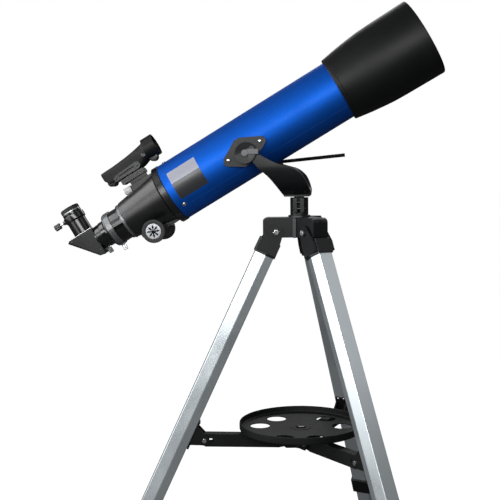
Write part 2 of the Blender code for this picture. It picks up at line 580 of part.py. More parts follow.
def build_yoke(mount, pivot):
    """The U of two curved arms on a foot: the side outline's prism cut to the front view's U."""
    hub = (pivot.x, pivot.z)
    upper = blend([(0.0215, 0.0625), (0.0165, 0.0765), (0.0105, 0.0880), (0.0005, 0.0975), (-0.0100, 0.1030),
                   (-0.0353, 0.1102), (-0.0513, 0.1182), (-0.0658, 0.1264), (-0.0765, 0.1345)], 2)
    lower = blend([(-0.0815, 0.1190), (-0.0680, 0.1024), (-0.0517, 0.0879), (-0.0415, 0.0756), (-0.0320, 0.0617),
                   (-0.0255, YOKE_FOOT_Z)], 2)
    side_view = upper + arc(hub, 0.0122, 45, 280, 12) + lower + [(0.0190, YOKE_FOOT_Z), (0.0212, 0.0525)]

    def curve(half_width, depth, start, end, steps):
        return [(half_width * p, YOKE_CENTRE_Z + depth * q) for p, q in arc((0, 0), 1.0, start, end, steps)]

    foot = YOKE_FOOT_HALF
    front_view = [(-YOKE_OUTER, YOKE_TOP_Z), *curve(YOKE_OUTER, YOKE_OUTER_DEPTH, 180, 248, 7), (-foot, 0.0545),
                  (-foot, 0.040), (foot, 0.040), (foot, 0.0545),
                  *curve(YOKE_OUTER, YOKE_OUTER_DEPTH, 292, 360, 7), (YOKE_OUTER, YOKE_TOP_Z),
                  (YOKE_INNER, YOKE_TOP_Z), *curve(YOKE_INNER, YOKE_INNER_DEPTH, 360, 180, 16),
                  (-YOKE_INNER, YOKE_TOP_Z)]
    made = as_object("yoke", prism("Y", -0.080, 0.080, side_view), mount)
    made.data.materials.append(own_finish("yoke", "cast_black"))
    made.data.shade_smooth()
    made.data.set_sharp_from_angle(angle=math.radians(35))
    boolean(made, "INTERSECT", prism("X", -0.110, 0.040, front_view), "yoke_front_view")
    clamp_z = clamp_height()
    stem = turned("Z", ((0.0240, 0.0080), (0.0250, STEM_R), (YOKE_FOOT_Z + 0.004, STEM_R)), SMALL)
    lug = rod("Y", 0.0640, 0.0792, 0.0090, SMALL, (CLAMP_X, clamp_z))
    boolean(made, "UNION", stem, "yoke_stem")
    boolean(made, "UNION", lug, "yoke_lug")
    boolean(made, "DIFFERENCE", rod("Y", -0.090, 0.090, BOLT_R + GAP, TINY, hub), "yoke_bolt_hole")
    pin_hole = rod("Y", 0.0700, 0.0850, SHAFT_R + GAP, TINY, (CLAMP_X, clamp_z))
    boolean(made, "DIFFERENCE", pin_hole, "yoke_pin_hole")

    for side, name in ((-1, "pivot_bolt_left"), (1, "pivot_bolt_right")):
        head = BRACKET_OUTER + GAP
        profile = ((0.0592, BOLT_R), (head, BOLT_R), (head, 0.0062), (head + 0.0030, 0.0062),
                   (head + 0.0034, 0.0055))
        bolt = turned("Y", [(side * y, radius) for y, radius in profile], TINY, hub)
        tab = block((hub[0] + 0.003, hub[0] + 0.0235), (head, head + 0.0025), (hub[1] - 0.0020, hub[1] + 0.0068))
        piece(name, bolt, mount, "silver", add=(mirrored(tab, side),))


def rod_line():
    """The rod's rear pivot in the mount's frame and its upward slope, from the altitude at rest."""
    c, s = math.cos(ALTITUDE), math.sin(ALTITUDE)
    x = TUBE_ORIGIN_X + ROD_PIVOT_X * c - ROD_PIVOT_Z * s
    z = AXIS_CROSSING + TUBE_ORIGIN_X * math.tan(ALTITUDE) + ROD_PIVOT_X * s + ROD_PIVOT_Z * c
    return x, z, math.radians(5.3)


def clamp_height():
    x, z, slope = rod_line()
    return z + (CLAMP_X - x) * math.tan(slope)


def build_slow_motion(rod_pivot, clamp_pivot):
    shank = rod("X", 0.004, ROD_LENGTH, ROD_R, TINY, (ROD_Y, 0.0))
    eye = rod("Y", 0.0835, 0.0965, 0.0078, SMALL)
    eye_bore = rod("Y", 0.080, 0.100, 0.0043, TINY)
    piece("slow_motion_rod", shank, rod_pivot, "satin_black", add=(eye,), cut=(eye_bore,))

    body = prism("Y", 0.0796, 0.0980, ((-0.009, -0.0105), (-0.007, -0.0125), (0.007, -0.0125), (0.009, -0.0105),
                                       (0.009, 0.0105), (0.007, 0.0125), (-0.007, 0.0125), (-0.009, 0.0105)))
    pin = rod("Y", 0.0715, 0.0810, SHAFT_R, TINY)
    slot = block((-0.020, 0.020), (ROD_Y - 0.0039, ROD_Y + 0.0039), (-CLAMP_SLOT_HALF, CLAMP_SLOT_HALF))
    piece("rod_clamp", body, clamp_pivot, "satin_black", add=(pin,), cut=(slot,))


def build_head(head):
    arms = []
    corner = 0.008
    for azimuth in LEG_AZIMUTHS:
        outline = [(0.0, HEAD_BOTTOM), (HEAD_ARM_R - 0.004, HEAD_BOTTOM), (HEAD_ARM_R, HEAD_BOTTOM + 0.003)]
        outline += arc((HEAD_ARM_R - corner, HEAD_TOP - corner), corner, 0, 90, 5)
        outline += [(0.0, HEAD_TOP)]
        arm = prism("Y", -HEAD_ARM_HALF, HEAD_ARM_HALF, outline)
        arms.append(tilted(arm, "Z", azimuth, (0.0, 0.0, 0.0)))
    pins = [tilted(rod("Y", -0.0235, 0.0235, PIN_R, TINY, (HINGE_R, HINGE_Z)), "Z", azimuth, (0.0, 0.0, 0.0))
            for azimuth in LEG_AZIMUTHS]
    piece("tripod_head", arms[0], head, "cast_black", add=arms[1:] + pins)

    post = ((HEAD_TOP + GAP, 0.0205), (HEAD_TOP + 0.0040, 0.0200), (HEAD_TOP + 0.0045, 0.0165), (0.0485, 0.0165))
    bore = rod("Z", 0.0220, 0.060, STEM_R + GAP, SMALL)
    slit = block((-0.0025, 0.0025), (-0.030, 0.0), (0.0200, 0.060))
    flat = block((-0.030, 0.030), (-0.030, -0.0150), (0.0190, 0.060))
    piece("azimuth_post", turned("Z", post, ROUND), head, "satin_black", cut=(bore, slit, flat))


def section_ring(z, grow=0.0):
    """The leg's six-sided section at a height, grown outward by an amount."""
    points = [(x + grow * ((x > 0) - (x < 0)), half + grow) for x, half in LEG_SECTION]
    right = [Vector((x, half, z)) for x, half in points]
    left = [Vector((x, -half, z)) for x, half in reversed(points)]
    return right + left


def build_leg(index, leg, lower, lock):
    inner = -LEG_WALL
    shell = [section_ring(LEG_TOP), section_ring(COLLAR_TOP), section_ring(COLLAR_TOP - 0.0015, 0.003),
             section_ring(UPPER_LEG_END, 0.003), section_ring(UPPER_LEG_END, inner), section_ring(LEG_TOP, inner)]
    lock_hole = rod("X", 0.010, 0.030, 0.0033, TINY, (0.0, LOCK_Z))
    piece(f"upper_leg_{index}", loft(shell, closed=True), leg, "leg_aluminium", cut=(lock_hole,))

    sleeve = loft([section_ring(-0.0185, 0.0022), section_ring(CAP_END, 0.0022)])
    socket = loft([section_ring(LEG_TOP + GAP, GAP), section_ring(CAP_END - 0.001, GAP)])
    ear_outline = [(0.0130, -0.0240), (-0.0130, -0.0240)] + arc((0.0, 0.0), 0.0130, 180, 0, 10)
    ears = [prism("Y", side * 0.01640, side * 0.0209, ear_outline) for side in (-1, 1)]
    pin_hole = rod("Y", -0.030, 0.030, PIN_R + GAP, TINY)
    piece(f"leg_cap_{index}", sleeve, leg, "cast_black", add=ears, cut=(socket, pin_hole))

    fit = -LEG_WALL - GAP
    tube = [section_ring(LOWER_LEG_TOP, fit), section_ring(LOWER_LEG_END, fit),
            section_ring(LOWER_LEG_END, fit - 0.0013), section_ring(LOWER_LEG_TOP, fit - 0.0013)]
    piece(f"lower_leg_{index}", loft(tube, closed=True), lower, "leg_aluminium")

    floor = -(DATUM_HEIGHT + HINGE_Z)

    def floor_ring(grow):
        ring = section_ring(0.0, grow)
        for point in ring:
            point.z = (floor - point.x * math.sin(SPLAY)) / math.cos(SPLAY)
        return ring

    foot = [section_ring(LOWER_LEG_END - GAP, fit + GAP), section_ring(FOOT_TOP, fit + GAP),
            section_ring(FOOT_TOP, 0.0018), section_ring(LOWER_LEG_END + 0.004, 0.0030), floor_ring(0.0022)]
    piece(f"foot_{index}", loft(foot), lower, "rubber")

    knob_low = LEG_SECTION[0][0] + 0.003 + GAP
    knob = turned("X", ((LEG_SECTION[0][0] - LEG_WALL + 0.0001, SHAFT_R), (knob_low, SHAFT_R), (knob_low, 0.0095),
                        (knob_low + 0.003, 0.0105), (knob_low + 0.012, 0.0105), (knob_low + 0.013, 0.0095)), TINY,
                  (0.0, LOCK_Z))
    piece(f"leg_lock_{index}", knob, lock, "satin_black")


def build_leg_bracket(index, leg):
    low = LEG_SECTION[2][0] - GAP
    height = -BRACKET_DROP
    plate = block((low - 0.0032, low), (-0.0125, 0.0125), (height - 0.027, height + 0.027))
    cheek_outline = ([(low - 0.001, height - 0.019)] + arc((BRACKET_INSET, height), 0.0095, 270, 90, 8)
                     + [(low - 0.001, height + 0.019)])
    cheeks = [prism("Y", side * 0.0094, side * 0.0122, cheek_outline) for side in (-1, 1)]
    pin = rod("Y", -0.0135, 0.0135, SPREADER_PIN_R, TINY, (BRACKET_INSET, height))
    piece(f"leg_bracket_{index}", plate, leg, "cast_black", add=cheeks + [pin])


def arm_line():
    """Distance between a spreader arm's pins and the arm's rise towards the leg."""
    out = HINGE_R + BRACKET_INSET * math.cos(SPLAY) + BRACKET_DROP * math.sin(SPLAY) - HUB_PIVOT_R
    up = HINGE_Z + BRACKET_INSET * math.sin(SPLAY) - BRACKET_DROP * math.cos(SPLAY) - SPREADER_Z
    return math.hypot(out, up), math.atan2(up, out)


def build_spreader(hub, arm_pivots, arm_length):
    top, bottom = ARM_TOP, ARM_BOTTOM
    body = rod("Z", SPREADER_Z + bottom, TRAY_FLOOR_Z - 0.0023, 0.0165, SMALL)
    ears, pins = [], []
    for azimuth in LEG_AZIMUTHS:
        ear = ([(0.0, SPREADER_Z + bottom), (HUB_PIVOT_R, SPREADER_Z + bottom)]
               + arc((HUB_PIVOT_R, SPREADER_Z), 0.0095, -60, 60, 6) + [(HUB_PIVOT_R, SPREADER_Z + top),
                                                                       (0.0, SPREADER_Z + top)])
        for side in (-1, 1):
            ears.append(tilted(prism("Y", side * 0.0094, side * 0.0122, ear), "Z", azimuth, (0, 0, 0)))
        pins.append(tilted(rod("Y", -0.0135, 0.0135, SPREADER_PIN_R, TINY, (HUB_PIVOT_R, SPREADER_Z)), "Z",
                           azimuth, (0, 0, 0)))
    piece("spreader_hub", body, hub, "cast_black", add=ears + pins)

    for index, pivot in enumerate(arm_pivots, 1):
        outer = (arm_length, 0.0)
        side_view = (arc((0.0, 0.0), 0.0095, 240, 120, 6) + [(0.013, top), (arm_length - 0.002, top)]
                     + [(arm_length + 0.009, 0.005), (arm_length + 0.009, -0.005)]
                     + [(arm_length - 0.002, bottom), (0.013, bottom)])
        channel = block((-0.020, arm_length + 0.020), (-ARM_HALF + 0.0018, ARM_HALF - 0.0018),
                        (bottom - 0.010, top - 0.0022))
        hub_hole = rod("Y", -0.020, 0.020, SPREADER_PIN_R + GAP, TINY)
        slot_half = SPREADER_PIN_R + 4 * GAP
        slot_outline = (arc(outer, slot_half, -90, 90, 6)
                        + arc((arm_length - ARM_SLOT, 0.0), slot_half, 90, 270, 6))
        slot = prism("Y", -0.020, 0.020, slot_outline)
        piece(f"spreader_arm_{index}", prism("Y", -ARM_HALF, ARM_HALF, side_view), pivot, "cast_black",
              cut=(channel, hub_hole, slot))

    under = TRAY_FLOOR_Z - 0.0020
    rim = TRAY_RIM_Z
    profile = ((under, 0.004), (under, TRAY_R - 0.002), (under + 0.002, TRAY_R), (rim - 0.001, TRAY_R),
               (rim, TRAY_R - 0.0006), (rim, TRAY_R - 0.0018), (rim - 0.001, TRAY_R - 0.0022),
               (TRAY_FLOOR_Z + 0.002, TRAY_R - 0.0022), (TRAY_FLOOR_Z, TRAY_R - 0.0045), (TRAY_FLOOR_Z, 0.013),
               (TRAY_FLOOR_Z - 0.0008, 0.0115), (TRAY_FLOOR_Z - 0.0008, 0.004))
    holes = []
    for azimuth in LEG_AZIMUTHS:
        for side in (-1, 1):
            turn = azimuth + math.radians(-35 + 360) + side * TRAY_HOLE_PAIR
            centre = (TRAY_HOLE_CIRCLE * math.cos(turn), TRAY_HOLE_CIRCLE * math.sin(turn))
            holes.append(rod("Z", under - 0.005, TRAY_FLOOR_Z + 0.005, TRAY_HOLE_R, SMALL, centre))
    piece("accessory_tray", turned("Z", profile, FINE, hollow=True), hub, "satin_black", cut=holes)


def stand_on_floor(root):
    """Moves the whole telescope so that the centre of its footprint's box is the origin."""
    bpy.context.view_layer.update()
    depsgraph = bpy.context.evaluated_depsgraph_get()
    low, high = Vector((1e9,) * 3), Vector((-1e9,) * 3)
    for thing in bpy.context.scene.objects:
        if thing.type != "MESH" or thing.hide_render:
            continue
        shape = thing.evaluated_get(depsgraph)
        for vertex in shape.data.vertices:
            point = shape.matrix_world @ vertex.co
            low = Vector(map(min, low, point))
            high = Vector(map(max, high, point))
    root.location = -Vector(((low.x + high.x) / 2, (low.y + high.y) / 2, low.z))
    bpy.context.view_layer.update()


def main():
    clear_scene()
    root = bpy.data.objects.new("telescope", None)
    bpy.context.scene.collection.objects.link(root)
    origins[root] = Vector()

    head = empty("mount_datum", root, (0, 0, DATUM_HEIGHT), new_frame=True)
    build_head(head)
    azimuth = empty("azimuth_axis", head, (0, 0, 0))

    pivot_in_tube = Vector((PIVOT_X, 0.0, PIVOT_Z))
    tube_origin = Vector((TUBE_ORIGIN_X, 0.0, AXIS_CROSSING + TUBE_ORIGIN_X * math.tan(ALTITUDE)))
    pivot = tube_origin + Matrix.Rotation(-ALTITUDE, 3, "Y") @ pivot_in_tube
    build_yoke(azimuth, pivot)
    altitude = empty("altitude_axis", azimuth, pivot, (0.0, -ALTITUDE, 0.0))
    origins[altitude] = pivot_in_tube

    build_tube(altitude)
    build_focuser(altitude)
    build_finder(altitude)
    build_brackets(altitude)

    focus = empty("focus_axis", altitude, (-0.250, 0.0, 0.0))
    build_drawtube(focus)
    spin = empty("pinion_axis", altitude, (PINION_X, 0.0, PINION_Z))
    build_focus_drive(spin)
    turn = empty("diagonal_axis", focus, (ADAPTER_REAR, 0.0, 0.0))
    eyepiece = empty("eyepiece_axis", turn, (EYEPIECE_X, 0.0, 0.030))
    build_diagonal(turn, eyepiece)
    screws = {
        "shoe_screw": empty("shoe_screw_axis", altitude, (-0.2232, 0.0, SHOE_SCREW_Z)),
        "drawtube_screw": empty("drawtube_screw_axis", focus, (DRAWTUBE_SCREW_X, 0.0, -0.0342)),
        "adapter_screw": empty("adapter_screw_axis", focus, (ADAPTER_SCREW_X, 0.0, -0.0248)),
        "eyepiece_screw": empty("eyepiece_screw_axis", turn, (-0.3765, 0.0, EYEPIECE_SCREW_Z)),
    }
    build_screws(screws)

    rod_x, rod_z, slope = rod_line()
    rod_pivot = empty("rod_axis", altitude, (ROD_PIVOT_X, 0.0, ROD_PIVOT_Z), (0.0, ALTITUDE - slope, 0.0), True)
    clamp_pivot = empty("rod_clamp_axis", azimuth, (CLAMP_X, 0.0, clamp_height()), (0.0, -slope, 0.0), True)
    build_slow_motion(rod_pivot, clamp_pivot)

    for index, leg_azimuth in enumerate(LEG_AZIMUTHS, 1):
        pin = (HINGE_R * math.cos(leg_azimuth), HINGE_R * math.sin(leg_azimuth), HINGE_Z)
        leg = empty(f"leg_axis_{index}", head, pin, (0.0, -SPLAY, leg_azimuth), True)
        lower = empty(f"leg_slide_{index}", leg, (0, 0, UPPER_LEG_END))
        lock = empty(f"leg_lock_axis_{index}", leg, (LEG_SECTION[0][0], 0, LOCK_Z))
        build_leg(index, leg, lower, lock)
        build_leg_bracket(index, leg)

    hub = empty("spreader_axis", head, (0, 0, 0))
    arm_length, arm_rise = arm_line()
    arm_pivots = []
    for index, leg_azimuth in enumerate(LEG_AZIMUTHS, 1):
        place = (HUB_PIVOT_R * math.cos(leg_azimuth), HUB_PIVOT_R * math.sin(leg_azimuth), SPREADER_Z)
        arm_pivots.append(empty(f"spreader_arm_axis_{index}", hub, place,
                                (0.0, -arm_rise, leg_azimuth), True))
    build_spreader(hub, arm_pivots, arm_length)
    stand_on_floor(root)


main()
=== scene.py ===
import json
import math

import bmesh
import bpy
from mathutils import Matrix, Vector


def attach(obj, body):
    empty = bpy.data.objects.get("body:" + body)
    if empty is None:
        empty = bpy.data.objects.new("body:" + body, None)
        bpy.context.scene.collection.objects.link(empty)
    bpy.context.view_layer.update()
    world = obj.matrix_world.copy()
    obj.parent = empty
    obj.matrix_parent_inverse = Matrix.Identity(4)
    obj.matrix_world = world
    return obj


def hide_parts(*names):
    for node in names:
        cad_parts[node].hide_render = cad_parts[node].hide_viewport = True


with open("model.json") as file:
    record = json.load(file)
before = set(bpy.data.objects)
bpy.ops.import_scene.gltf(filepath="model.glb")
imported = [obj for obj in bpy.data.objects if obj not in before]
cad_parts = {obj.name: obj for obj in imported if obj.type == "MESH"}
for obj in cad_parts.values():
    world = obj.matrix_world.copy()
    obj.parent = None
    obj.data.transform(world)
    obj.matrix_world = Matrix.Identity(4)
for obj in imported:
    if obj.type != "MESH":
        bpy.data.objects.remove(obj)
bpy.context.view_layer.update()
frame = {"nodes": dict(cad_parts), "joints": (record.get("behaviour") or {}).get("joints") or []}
NODES = frame["nodes"]
JOINTS = {joint["name"]: joint for joint in frame["joints"]}
HINGE_LEGS = (1, 2, 3)
SIDES = ((-1, "left"), (1, "right"))

# Frames: the mount's, the tube's with +X along the optical axis, and each leg's with -Z down the leg
TILT = math.radians(30.66)
SPLAY = math.radians(25.07)
ARM_DROOP = math.radians(1.64)
DATUM = Vector(JOINTS["azimuth"]["pos_m"])
PIVOT = Vector((-0.003, 0.0, -0.0135))  # altitude pivot in the tube's frame
MOUNT = Matrix.Translation(DATUM)
TUBE = (Matrix.Translation(Vector(JOINTS["altitude"]["pos_m"])) @ Matrix.Rotation(-TILT, 4, "Y")
        @ Matrix.Translation(-PIVOT))


def radial_azimuth(joint):
    """Direction in plan in which a joint with a tangential axis faces."""
    return math.atan2(-joint["axis"][0], joint["axis"][1])


def leg_frame(index):
    joint = JOINTS[f"leg_{index}_fold"]
    return (Matrix.Translation(Vector(joint["pos_m"])) @ Matrix.Rotation(radial_azimuth(joint), 4, "Z")
            @ Matrix.Rotation(-SPLAY, 4, "Y"))


def hub_pin_frame(index):
    joint = JOINTS[f"spreader_arm_{index}_turn"]
    return Matrix.Translation(Vector(joint["pos_m"])) @ Matrix.Rotation(radial_azimuth(joint), 4, "Z")


def arm_frame(index):
    return hub_pin_frame(index) @ Matrix.Rotation(-ARM_DROOP, 4, "Y")


def head_arm_frame(index):
    return MOUNT @ Matrix.Rotation(radial_azimuth(JOINTS[f"leg_{index}_fold"]), 4, "Z")


# ---------------------------------------------------------------- materials

def link(material, start, end):
    material.node_tree.links.new(start, end)


SMUDGE_SCALE = 11.0
SMUDGE_RANGE = (0.3, 0.7)
RELIEF_DEPTH = 0.0002
COAT_ROUGHNESS = 0.12


def surface(name, colour, roughness, metallic=0.0, coat=0.0, grain=900.0, bump=0.15, spread=0.08,
            stretch=(1, 1, 1), tint=0.12, fleck=None, specular=0.5):
    """A finish with fine grain, broad smudges in its gloss and a slight change of tone."""
    material = bpy.data.materials.new(name)
    material.use_nodes = True
    tree = material.node_tree
    shader = tree.nodes["Principled BSDF"]
    place = tree.nodes.new("ShaderNodeTexCoord").outputs["Object"]
    mapping = tree.nodes.new("ShaderNodeMapping")
    mapping.inputs["Scale"].default_value = stretch
    link(material, place, mapping.inputs["Vector"])
    fine = tree.nodes.new("ShaderNodeTexNoise")
    fine.inputs["Scale"].default_value = grain
    fine.inputs["Detail"].default_value = 3.0
    link(material, mapping.outputs["Vector"], fine.inputs["Vector"])
    broad = tree.nodes.new("ShaderNodeTexNoise")
    broad.inputs["Scale"].default_value = SMUDGE_SCALE
    broad.inputs["Detail"].default_value = 4.0
    link(material, place, broad.inputs["Vector"])

    gloss = tree.nodes.new("ShaderNodeMapRange")
    gloss.inputs["From Min"].default_value, gloss.inputs["From Max"].default_value = SMUDGE_RANGE
    gloss.inputs["To Min"].default_value = max(0.02, roughness - spread)
    gloss.inputs["To Max"].default_value = roughness + spread
    link(material, broad.outputs["Fac"], gloss.inputs["Value"])
    link(material, gloss.outputs["Result"], shader.inputs["Roughness"])

    tone = tree.nodes.new("ShaderNodeMix")
    tone.data_type = "RGBA"
    tone.inputs["A"].default_value = (*(c * (1 - tint) for c in colour), 1.0)
    tone.inputs["B"].default_value = (*(min(1.0, c * (1 + tint)) for c in (fleck or colour)), 1.0)
    link(material, fine.outputs["Fac"], tone.inputs["Factor"])
    link(material, tone.outputs["Result"], shader.inputs["Base Color"])

    relief = tree.nodes.new("ShaderNodeBump")
    relief.inputs["Strength"].default_value = bump
    relief.inputs["Distance"].default_value = RELIEF_DEPTH
    link(material, fine.outputs["Fac"], relief.inputs["Height"])
    link(material, relief.outputs["Normal"], shader.inputs["Normal"])
    shader.inputs["Metallic"].default_value = metallic
    shader.inputs["Specular IOR Level"].default_value = specular
    shader.inputs["Coat Weight"].default_value = coat
    shader.inputs["Coat Roughness"].default_value = COAT_ROUGHNESS
    material.diffuse_color = (*colour, 1.0)
    return material


def glass(name, colour, roughness=0.02, reflect=0.5):
    material = surface(name, colour, roughness, grain=60.0, bump=0.0, spread=0.01, tint=0.02)
    shader = material.node_tree.nodes["Principled BSDF"]
    shader.inputs["Transmission Weight"].default_value = 0.92
    shader.inputs["IOR"].default_value = 1.52
    shader.inputs["Coat Weight"].default_value = reflect
    return material


BLUE = surface("blue_metallic_paint", (0.0004, 0.044, 0.26), 0.56, metallic=0.85, coat=0.03, grain=1500.0,
               bump=0.14, spread=0.04, tint=0.25, fleck=(0.002, 0.11, 0.58))
PLASTIC = surface("satin_black_plastic", (0.0030, 0.0033, 0.0034), 0.47, grain=1100.0, bump=0.22, spread=0.06,
                  specular=0.23)
CAST = surface("black_casting_paint", (0.0040, 0.0043, 0.0047), 0.31, coat=0.14, grain=700.0, bump=0.30,
               spread=0.05)
MOUNT_BLACK = surface("mount_black_paint", (0.0045, 0.0052, 0.0058), 0.38, coat=0.03, grain=500.0, bump=0.22,
                      spread=0.06, specular=0.30)
GLOSS = surface("gloss_black", (0.0025, 0.0027, 0.0030), 0.17, coat=0.30, grain=1400.0, bump=0.05,
                spread=0.04)
MATT = surface("matt_black_inside", (0.0045, 0.0045, 0.0048), 0.85, grain=600.0, bump=0.30, spread=0.05)
RUBBER = surface("ribbed_rubber", (0.0130, 0.0130, 0.0130), 0.72, grain=800.0, bump=0.40)
GREY = surface("grey_anodised", (0.150, 0.158, 0.165), 0.36, metallic=0.75, grain=1200.0, bump=0.12,
               spread=0.07, stretch=(0.15, 1, 1))
SILVER = surface("plated_screw", (0.70, 0.71, 0.73), 0.22, metallic=1.0, grain=1500.0, bump=0.06, spread=0.06)
PALE = surface("pale_nickel", (0.52, 0.52, 0.54), 0.42, metallic=0.30, coat=0.2, grain=1500.0, bump=0.06,
               spread=0.06)
DULL = surface("dull_zinc", (0.38, 0.39, 0.40), 0.36, metallic=0.9)
DISC = surface("silver_disc", (0.44, 0.46, 0.48), 0.34, metallic=0.35, coat=0.2, grain=1500.0, bump=0.06,
               spread=0.05)
LEG = surface("brushed_leg", (0.60, 0.655, 0.685), 0.30, metallic=0.85, bump=0.10, spread=0.05,
              stretch=(1, 1, 0.02), tint=0.05)
# Painted highlight: a lighter grey for the bar on each corner of the head, where the side plates meet and catch
# the light
CORNER_HIGHLIGHT_GREY = surface("painted_corner_highlight", (0.030, 0.032, 0.034), 0.40, metallic=0.3, grain=700.0, bump=0.20,
                    spread=0.06)
TAB_GREY = surface("grey_painted_tab", (0.075, 0.078, 0.082), 0.42, metallic=0.2, grain=1200.0, bump=0.12,
                   spread=0.06)
LABEL_PALE = surface("label_pale", (0.27, 0.28, 0.33), 0.45, coat=0.1, grain=500.0, bump=0.02, spread=0.05,
                     tint=0.03)
LABEL_DARK = surface("label_dark", (0.020, 0.021, 0.024), 0.35, coat=0.1, grain=500.0, bump=0.02, spread=0.05)
SEAM = surface("seam_line", (0.02, 0.09, 0.34), 0.40, metallic=0.5, bump=0.05, spread=0.05)
LENS = glass("coated_objective", (0.80, 0.93, 0.88))
FLINT = glass("flint_glass", (0.90, 0.95, 0.92))
AMBER = glass("yellow_green_glass", (0.55, 0.52, 0.10), 0.04, 0.8)


# ---------------------------------------------------------------- shapes

def placed(axis, along, p, q):
    """The point at a distance along an axis and at (p, q) across it."""
    return {"X": Vector((along, p, q)), "Y": Vector((p, along, q)), "Z": Vector((p, q, along))}[axis]


def loft(rings, closed=False):
    """Skins a row of rings, with flat ends, or with the last ring joined to the first."""
    shape = bmesh.new()
    rows = [[shape.verts.new(point) for point in ring] for ring in rings]
    pairs = list(zip(rows, rows[1:])) + ([(rows[-1], rows[0])] if closed else [])
    for low, high in pairs:
        for i in range(len(low)):
            j = (i + 1) % len(low)
            shape.faces.new((low[i], low[j], high[j], high[i]))
    if not closed:
        shape.faces.new(rows[0])
        shape.faces.new(rows[-1])
    bmesh.ops.recalc_face_normals(shape, faces=shape.faces)
    if shape.calc_volume(signed=True) < 0:
        bmesh.ops.reverse_faces(shape, faces=shape.faces)
    return shape


def rounded(points, radius, closed=True, steps=3):
    """The outline with its corners rounded, by less where a side is short."""
    made = []
    count = len(points)
    for i, corner in enumerate(points):
        if not closed and i in (0, count - 1):
            made.append(tuple(corner))
            continue
        here = Vector(corner)
        before, after = Vector(points[i - 1]) - here, Vector(points[(i + 1) % count]) - here
        reach = min(radius, before.length * 0.45, after.length * 0.45)
        start, end = here + before.normalized() * reach, here + after.normalized() * reach
        for step in range(steps + 1):
            t = step / steps
            made.append(tuple(start * (1 - t) ** 2 + here * 2 * t * (1 - t) + end * t * t))
    return made


def turned(axis, profile, count=64, centre=(0.0, 0.0), hollow=False, ribs=None):
    """Turns (along, radius) points round an axis. ribs is (from, to, depth, how many, above what radius)."""
    rings = []
    low, high, depth, ribs_round, least = ribs or (0.0, 0.0, 0.0, 1, math.inf)
    pitch = count // ribs_round
    for along, radius in profile:
        points = []
        for i in range(count):
            turn = 2 * math.pi * i / count
            r = radius
            if radius > least and low <= along <= high:
                r -= depth * (i % pitch < pitch / 2)
            points.append(placed(axis, along, centre[0] + r * math.cos(turn), centre[1] + r * math.sin(turn)))
        rings.append(points)
    return loft(rings, hollow)


def rod(axis, low, high, radius, count=32, centre=(0.0, 0.0), edge=0.0004):
    edge = min(edge, radius * 0.4, abs(high - low) * 0.4)
    profile = ((low, radius - edge), (low + edge * 0.3, radius - edge * 0.3), (low + edge, radius),
               (high - edge, radius), (high - edge * 0.3, radius - edge * 0.3), (high, radius - edge))
    return turned(axis, profile, count, centre)


def ring(axis, low, high, inner, outer, count=64, centre=(0.0, 0.0), edge=0.0004):
    outline = rounded(((low, inner), (low, outer), (high, outer), (high, inner)), edge)
    return turned(axis, outline, count, centre, True)


def prism(axis, low, high, outline, bevel=0.0):
    if not bevel:
        return loft([[placed(axis, low, *p) for p in outline], [placed(axis, high, *p) for p in outline]])
    middle = Vector((sum(p[0] for p in outline) / len(outline), sum(p[1] for p in outline) / len(outline)))
    size = max((Vector(p) - middle).length for p in outline)
    inner = [tuple(middle + (Vector(p) - middle) * (1 - bevel / size)) for p in outline]
    return loft([[placed(axis, low, *p) for p in inner], [placed(axis, low + bevel, *p) for p in outline],
                 [placed(axis, high - bevel, *p) for p in outline], [placed(axis, high, *p) for p in inner]])


def block(x, y, z, edge=0.0005):
    corners = ((y[0], z[0]), (y[1], z[0]), (y[1], z[1]), (y[0], z[1]))
    return prism("X", x[0], x[1], rounded(corners, edge, steps=2), edge)


def joined(*shapes):
    whole = bmesh.new()
    for shape in shapes:
        part = bpy.data.meshes.new("part")
        shape.to_mesh(part)
        shape.free()
        whole.from_mesh(part)
        bpy.data.meshes.remove(part)
    return whole


def moved(shape, matrix):
    bmesh.ops.transform(shape, matrix=matrix, verts=shape.verts)
    return shape


def turned_about(shape, axis, degrees):
    return moved(shape, Matrix.Rotation(math.radians(degrees), 4, axis))


def span(side, near, far):
    """Two distances to one side of a middle plane, the lower first."""
    return sorted((side * near, side * far))


def as_mesh(name, shape):
    mesh = bpy.data.meshes.new(name)
    shape.to_mesh(mesh)
    shape.free()
    return mesh


def settled(thing):
    """Applies the object's modifiers to its mesh."""
    bpy.context.view_layer.update()
    made = bpy.data.meshes.new_from_object(thing.evaluated_get(bpy.context.evaluated_depsgraph_get()))
    thing.modifiers.clear()
    thing.data = made


def put(name, shape, place, body, material, replaces=(), cut=(), bevel=0.0, sharp=38.0, limit=34.0):
    """Makes a piece in a frame, with its finish and body."""
    piece = bpy.data.objects.new(name, as_mesh(name, shape))
    bpy.context.scene.collection.objects.link(piece)
    for tool in cut:
        helper = bpy.data.objects.new("helper", as_mesh("helper", tool))
        bpy.context.scene.collection.objects.link(helper)
        taken = piece.modifiers.new("cut", "BOOLEAN")
        taken.operation, taken.solver, taken.object = "DIFFERENCE", "EXACT", helper
        settled(piece)
        bpy.data.objects.remove(helper)
    if bevel:
        eased = piece.modifiers.new("eased", "BEVEL")
        eased.width, eased.segments, eased.angle_limit = bevel, 2, math.radians(limit)
        eased.limit_method = "ANGLE"
        settled(piece)
    piece.data.materials.clear()
    piece.data.materials.append(material)
    for face in piece.data.polygons:
        face.use_smooth = True
    piece.data.set_sharp_from_angle(angle=math.radians(sharp))
    weighted = piece.modifiers.new("weighted", "WEIGHTED_NORMAL")
    weighted.keep_sharp = True
    settled(piece)
    piece.matrix_world = place
    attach(piece, body)
    if replaces:
        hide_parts(*replaces)


